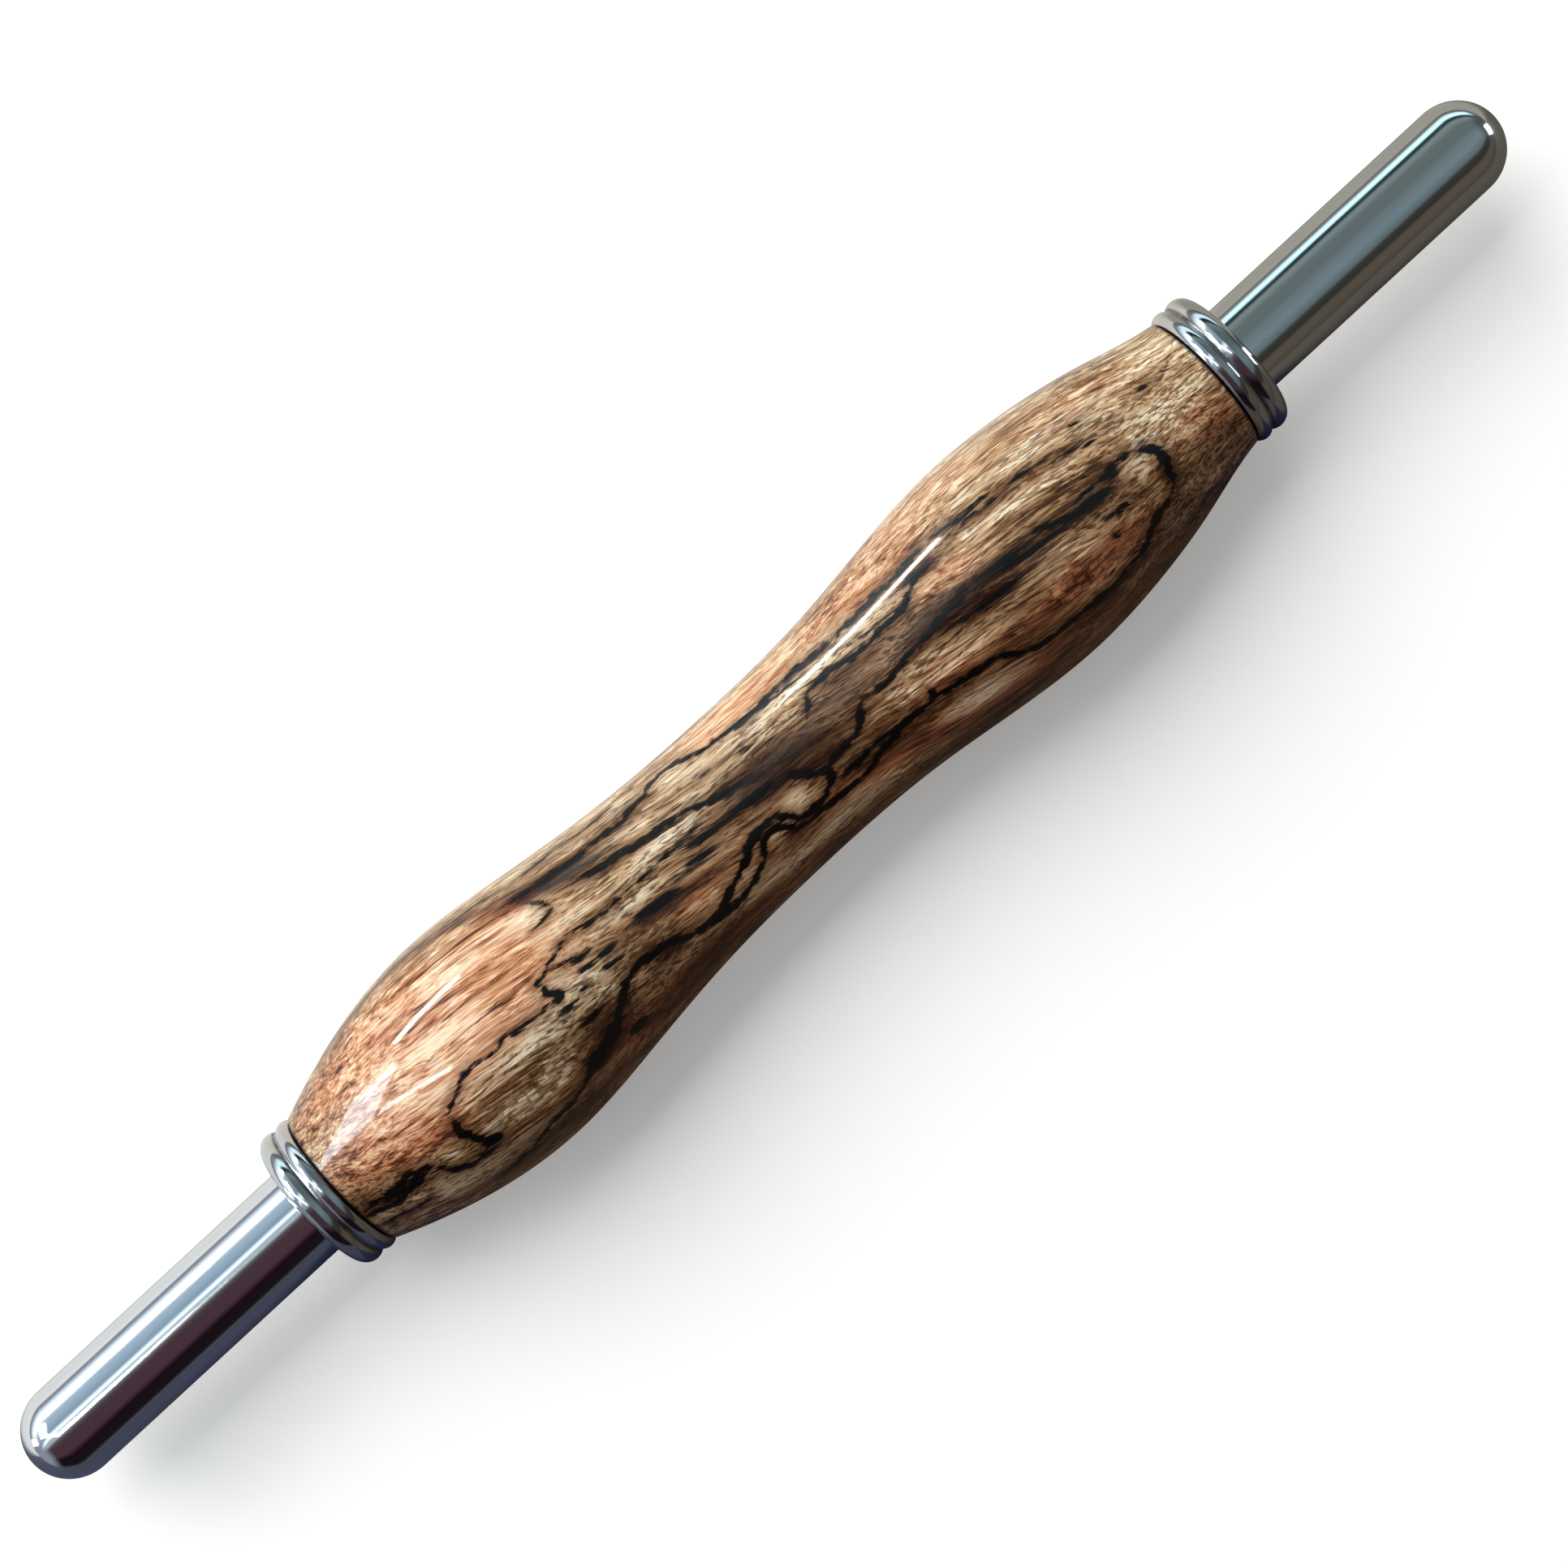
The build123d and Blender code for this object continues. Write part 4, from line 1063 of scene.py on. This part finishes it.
class CLAYTOOL_OT_tips(bpy.types.Operator):
    """Collars, needle and ball stylus on the inner ends of the inserts"""

    bl_idname = "clay_tool.tips"
    bl_label = "Collars and tips"

    def execute(self, context):
        settings = context.scene.clay_tool_metal
        collar_chrome = polished_metal("collar_chrome", settings, settings.chrome, 0.10, along=False)
        steel = polished_metal("tip_steel", settings, settings.steel, 0.16, along=True)
        pieces = (
            ("needle_collar", "needle", "needle_insert_collar", self.collar, collar_chrome, "chrome"),
            ("needle_point", "needle", "needle", self.needle, steel, "steel"),
            ("stylus_collar", "stylus", "stylus_insert_collar", self.collar, collar_chrome, "chrome"),
            ("stylus_ball", "stylus", "ball_stylus", self.stylus, steel, "steel"),
        )
        for name, end, node, outline, material, slot in pieces:
            low, high, radius = reach(node)
            way = ENDS[end]
            profile = outline(high - low, radius)
            profile[:, 0] = (low if way > 0 else high) + way * profile[:, 0]
            place(lathe(name, profile, SMALL_COLUMNS), material, f"{end}_insert", slot, node)
        return {"FINISHED"}

    @staticmethod
    def collar(length, radius):
        """From the tip's end: nose face, waisted cone, flange, then the plug in the rod.

        The cone's radius runs straight from the nose to the flange, less a parabola for the waist.
        """
        cone = COLLAR_LENGTH - COLLAR_FLANGE
        t = np.linspace(0, 1, 24)
        waist = np.column_stack([
            cone * t,
            COLLAR_NOSE + (radius - COLLAR_NOSE) * t - 4 * t * (1 - t) * COLLAR_WAIST,
        ])
        return joined(
            (TIP_SOCKET_DEPTH, 0), (TIP_SOCKET_DEPTH, TIP_SOCKET_RADIUS), (0, TIP_SOCKET_RADIUS),
            (0, COLLAR_NOSE), waist, (cone, radius), (COLLAR_LENGTH, radius),
            (COLLAR_LENGTH, SOCKET_RADIUS), (length, SOCKET_RADIUS), (length, 0),
        )

    @staticmethod
    def needle(length, radius):
        """From the point: a blunted tip, a long taper and a straight shank."""
        return joined(
            arc((NEEDLE_BLUNT, 0), NEEDLE_BLUNT, 180, 90, 7),
            stretch((NEEDLE_BLUNT, NEEDLE_BLUNT), (NEEDLE_TAPER, radius), 12),
            stretch((NEEDLE_TAPER, radius), (length, radius), 8),
            (length, 0),
        )

    @staticmethod
    def stylus(length, radius):
        """From the ball's end: ball, neck and shank."""
        turn = math.asin(STYLUS_NECK / radius)
        behind = radius * 2 + STYLUS_TAPER
        return joined(
            arc((radius, 0), radius, 180, math.degrees(turn), 36),
            stretch((radius + radius * math.cos(turn), STYLUS_NECK), (behind, TIP_SOCKET_RADIUS), 8),
            stretch((behind, TIP_SOCKET_RADIUS), (length, TIP_SOCKET_RADIUS), 8),
            (length, 0),
        )


class CLAYTOOL_OT_inner_fittings(bpy.types.Operator):
    """Liner tube and guide bushes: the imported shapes, in turned brass"""

    bl_idname = "clay_tool.inner_fittings"
    bl_label = "Inner fittings"

    def execute(self, context):
        settings = context.scene.clay_tool_metal
        brass = polished_metal("turned_brass", settings, settings.brass, 0.25, along=False)
        for node in ("liner_tube", "needle_end_guide_bush", "stylus_end_guide_bush"):
            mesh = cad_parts[node].data
            mesh.materials.clear()
            mesh.materials.append(brass)
        return {"FINISHED"}


# ---- Stage --------------------------------------------------------------------------------
# Light from round about each half of the tool: (degrees from straight up towards +Y, linear colour).
ROUND_NEEDLE_END = [
    (-180, (0.02, 0.02, 0.03)), (-92, (0.13, 0.13, 0.15)), (-87, (0.09, 0.09, 0.11)),
    (-80, (0.012, 0.01, 0.014)), (-50, (0.016, 0.006, 0.011)), (-38, (0.09, 0.045, 0.06)),
    (-8, (0.09, 0.05, 0.068)), (0, (0.14, 0.12, 0.13)), (6, (0.5, 0.62, 0.7)), (14, (0.5, 0.62, 0.7)),
    (18, (1.6, 1.9, 2.0)), (22, (1.3, 1.5, 1.6)), (27, (0.32, 0.46, 0.6)), (42, (0.45, 0.63, 0.8)),
    (55, (0.55, 0.70, 0.84)), (64, (1.5, 1.8, 1.95)), (76, (1.6, 1.8, 1.9)), (84, (0.9, 1.0, 1.1)),
    (92, (0.28, 0.38, 0.5)), (180, (0.3, 0.3, 0.3)),
]
ROUND_STYLUS_END = [
    (-180, (0.02, 0.02, 0.03)), (-90, (0.10, 0.08, 0.06)), (-70, (0.13, 0.108, 0.083)),
    (-60, (0.12, 0.10, 0.073)), (-54, (0.045, 0.04, 0.032)), (-40, (0.055, 0.06, 0.055)),
    (-34, (0.16, 0.2, 0.2)), (-28, (0.17, 0.24, 0.27)), (-15, (0.235, 0.325, 0.36)),
    (7, (0.20, 0.27, 0.29)), (19, (0.165, 0.215, 0.22)), (42, (0.17, 0.225, 0.225)),
    (56, (0.29, 0.36, 0.37)), (60, (0.27, 0.34, 0.35)), (65, (0.02, 0.05, 0.055)),
    (72, (0.03, 0.06, 0.065)), (76, (1.2, 1.7, 1.85)), (84, (1.2, 1.7, 1.85)), (90, (0.4, 0.5, 0.54)),
    (180, (0.3, 0.3, 0.3)),
]
# Soft boxes one metre away: (name, direction from the tool, direction of the long side, length and
# width in metres, radiance, colour, whether only reflections show it). The others light the surfaces
# and show in no reflection.
LAMPS = [
    ("soft_key", (-0.10, 0.66, 0.74), (1, 0, 0), (0.90, 0.90), 5.0, (1.0, 0.97, 0.93), False),
    ("warm_fill", (0.12, -0.90, 0.42), (1, 0, 0), (0.90, 0.60), 0.55, (1.0, 0.80, 0.62), False),
    ("window_strip", (-0.22, 0.885, 0.41), (1, 0.1, 0), (0.38, 0.08), 45.0, (1.0, 0.98, 0.95), True),
    ("side_window", (-0.65, 0.53, 0.54), (0.3, 1, 0), (0.40, 0.30), 20.0, (0.78, 0.88, 1.0), True),
    ("bright_bar", (-0.54, 0.65, 0.54), (0.82, 0.56, 0.2), (0.20, 0.04), 36.0, (0.95, 0.98, 1.0), True),
    ("needle_end_window", (-0.94, 0.34, 0.10), (0, 0, 1), (0.34, 0.16), 6.0, (0.88, 0.93, 1.0), True),
    ("stylus_end_window", (0.98, -0.14, 0.12), (0, 0, 1), (0.20, 0.26), 14.0, (0.93, 1.0, 1.0), True),
    ("high_strip", (-0.47, 0.23, 0.82), (-0.304, 0.256, -0.252), (0.48, 0.05), 30.0,
     (1.0, 0.98, 0.95), True),
]


class CLAYTOOL_OT_stage(bpy.types.Operator):
    """Pale floor, soft light and the camera"""

    bl_idname = "clay_tool.stage"
    bl_label = "Stage"

    def execute(self, context):
        settings = context.scene.clay_tool_stage
        self.floor(settings)
        self.surroundings(context.scene, settings)
        for name, direction, side, size, radiance, colour, gloss_only in LAMPS:
            lamp = self.lamp(name, Vector(direction).normalized(), Vector(side), size,
                             radiance * settings.lamps, colour)
            lamp.visible_glossy = gloss_only
            lamp.visible_diffuse = not gloss_only
        self.camera(context.scene, settings)
        context.scene.view_settings.view_transform = "Standard"
        return {"FINISHED"}

    @staticmethod
    def floor(settings):
        """A round tabletop just under the larger swell."""
        sides, radius, gap = 96, 1.6, 0.02 * MM
        t = np.arange(sides) * 2 * np.pi / sides
        top = np.full(sides, CAD_BOX[0][2] - gap)
        rim = np.column_stack([radius * np.cos(t), radius * np.sin(t), top])
        mesh = bpy.data.meshes.new("floor")
        mesh.from_pydata(rim, [], [list(range(sides))])
        floor = bpy.data.objects.new("floor", mesh)
        bpy.context.scene.collection.objects.link(floor)
        mesh.materials.append(pale_floor(settings))

    @staticmethod
    def surroundings(scene, settings):
        """The room's light by direction: soft bands round each half of the tool, an even light past
        each end, and a plain backdrop for the camera."""
        world = bpy.data.worlds.new("studio")
        scene.world = world
        g = Graph(world)
        x, y, z = g.axes(g.node("ShaderNodeTexCoord").outputs["Generated"])
        turn = y.arctan2(z) / (2 * math.pi) + 0.5
        rounds = [
            g.shades(turn, [((degrees + 180) / 360, colour) for degrees, colour in bands])
            for bands in (ROUND_NEEDLE_END, ROUND_STYLUS_END)
        ]
        stylus_half = x.ramp(-0.12, 0.12)
        beyond = g.mix(stylus_half, settings.past_needle_end, settings.past_stylus_end)
        light = g.mix((x * x).ramp(0.62, 0.94), g.mix(stylus_half, *rounds), beyond)
        colour = g.mix(g.number("ShaderNodeLightPath"), light, settings.backdrop)
        background = g.node(
            "ShaderNodeBackground", None, {"Color": colour, "Strength": settings.surroundings})
        g.node("ShaderNodeOutputWorld", None, {"Surface": background.outputs[0]})

    @staticmethod
    def lamp(name, direction, side, size, radiance, colour):
        """A soft box one metre out in a direction, facing the tool. Its power is pi times its radiance
        times its area."""
        light = bpy.data.lights.new(name, "AREA")
        light.shape = "RECTANGLE"
        light.size, light.size_y = size
        light.energy = radiance * math.pi * size[0] * size[1]
        light.color = colour
        lamp = bpy.data.objects.new(name, light)
        across = direction.cross(side).normalized()
        axes = Matrix((across.cross(direction), across, direction)).transposed()
        lamp.matrix_world = Matrix.Translation(direction) @ axes.to_4x4()
        bpy.context.scene.collection.objects.link(lamp)
        return lamp

    @staticmethod
    def camera(scene, settings):
        """Looks straight down, turned so that the tool slopes up to the right."""
        data = bpy.data.cameras.new("camera")
        data.lens = settings.lens
        data.clip_start = 10 * MM
        data.clip_end = 10
        camera = bpy.data.objects.new("camera", data)
        c, s = math.cos(settings.camera_turn), math.sin(settings.camera_turn)
        right, up = Vector((c, -s, 0)), Vector((s, c, 0))
        to_right, above = settings.camera_offset
        camera.location = right * to_right + up * above + Vector((0, 0, settings.camera_height))
        camera.rotation_euler = (0, 0, -settings.camera_turn)
        scene.collection.objects.link(camera)
        scene.camera = camera


class CLAYTOOL_PT_panel(bpy.types.Panel):
    """Lists the pieces, in the order in which they are built"""

    bl_label = "Clay Tool"
    bl_idname = "CLAYTOOL_PT_panel"
    bl_space_type = "VIEW_3D"
    bl_region_type = "UI"
    bl_category = "Clay Tool"

    def draw(self, context):
        for operator in OPERATORS:
            self.layout.operator(operator.bl_idname)
        for group in SETTINGS:
            settings = getattr(context.scene, group)
            for name in settings.bl_rna.properties.keys():
                if name not in ("rna_type", "name"):
                    self.layout.prop(settings, name)


OPERATORS = (
    CLAYTOOL_OT_handle, CLAYTOOL_OT_ferrules, CLAYTOOL_OT_o_rings, CLAYTOOL_OT_rods,
    CLAYTOOL_OT_tips, CLAYTOOL_OT_inner_fittings, CLAYTOOL_OT_stage,
)
SETTINGS = {
    "clay_tool_handle": ClayToolHandle,
    "clay_tool_metal": ClayToolMetal,
    "clay_tool_stage": ClayToolStage,
}


def register():
    for group in SETTINGS.values():
        bpy.utils.register_class(group)
    for name, group in SETTINGS.items():
        setattr(bpy.types.Scene, name, bpy.props.PointerProperty(type=group))
    for operator in OPERATORS:
        bpy.utils.register_class(operator)
    bpy.utils.register_class(CLAYTOOL_PT_panel)


def unregister():
    bpy.utils.unregister_class(CLAYTOOL_PT_panel)
    for operator in reversed(OPERATORS):
        bpy.utils.unregister_class(operator)
    for name, group in SETTINGS.items():
        delattr(bpy.types.Scene, name)
        bpy.utils.unregister_class(group)


def main():
    register()
    for operator in OPERATORS:
        group, name = operator.bl_idname.split(".")
        getattr(getattr(bpy.ops, group), name)()


if __name__ == "__main__":
    main()
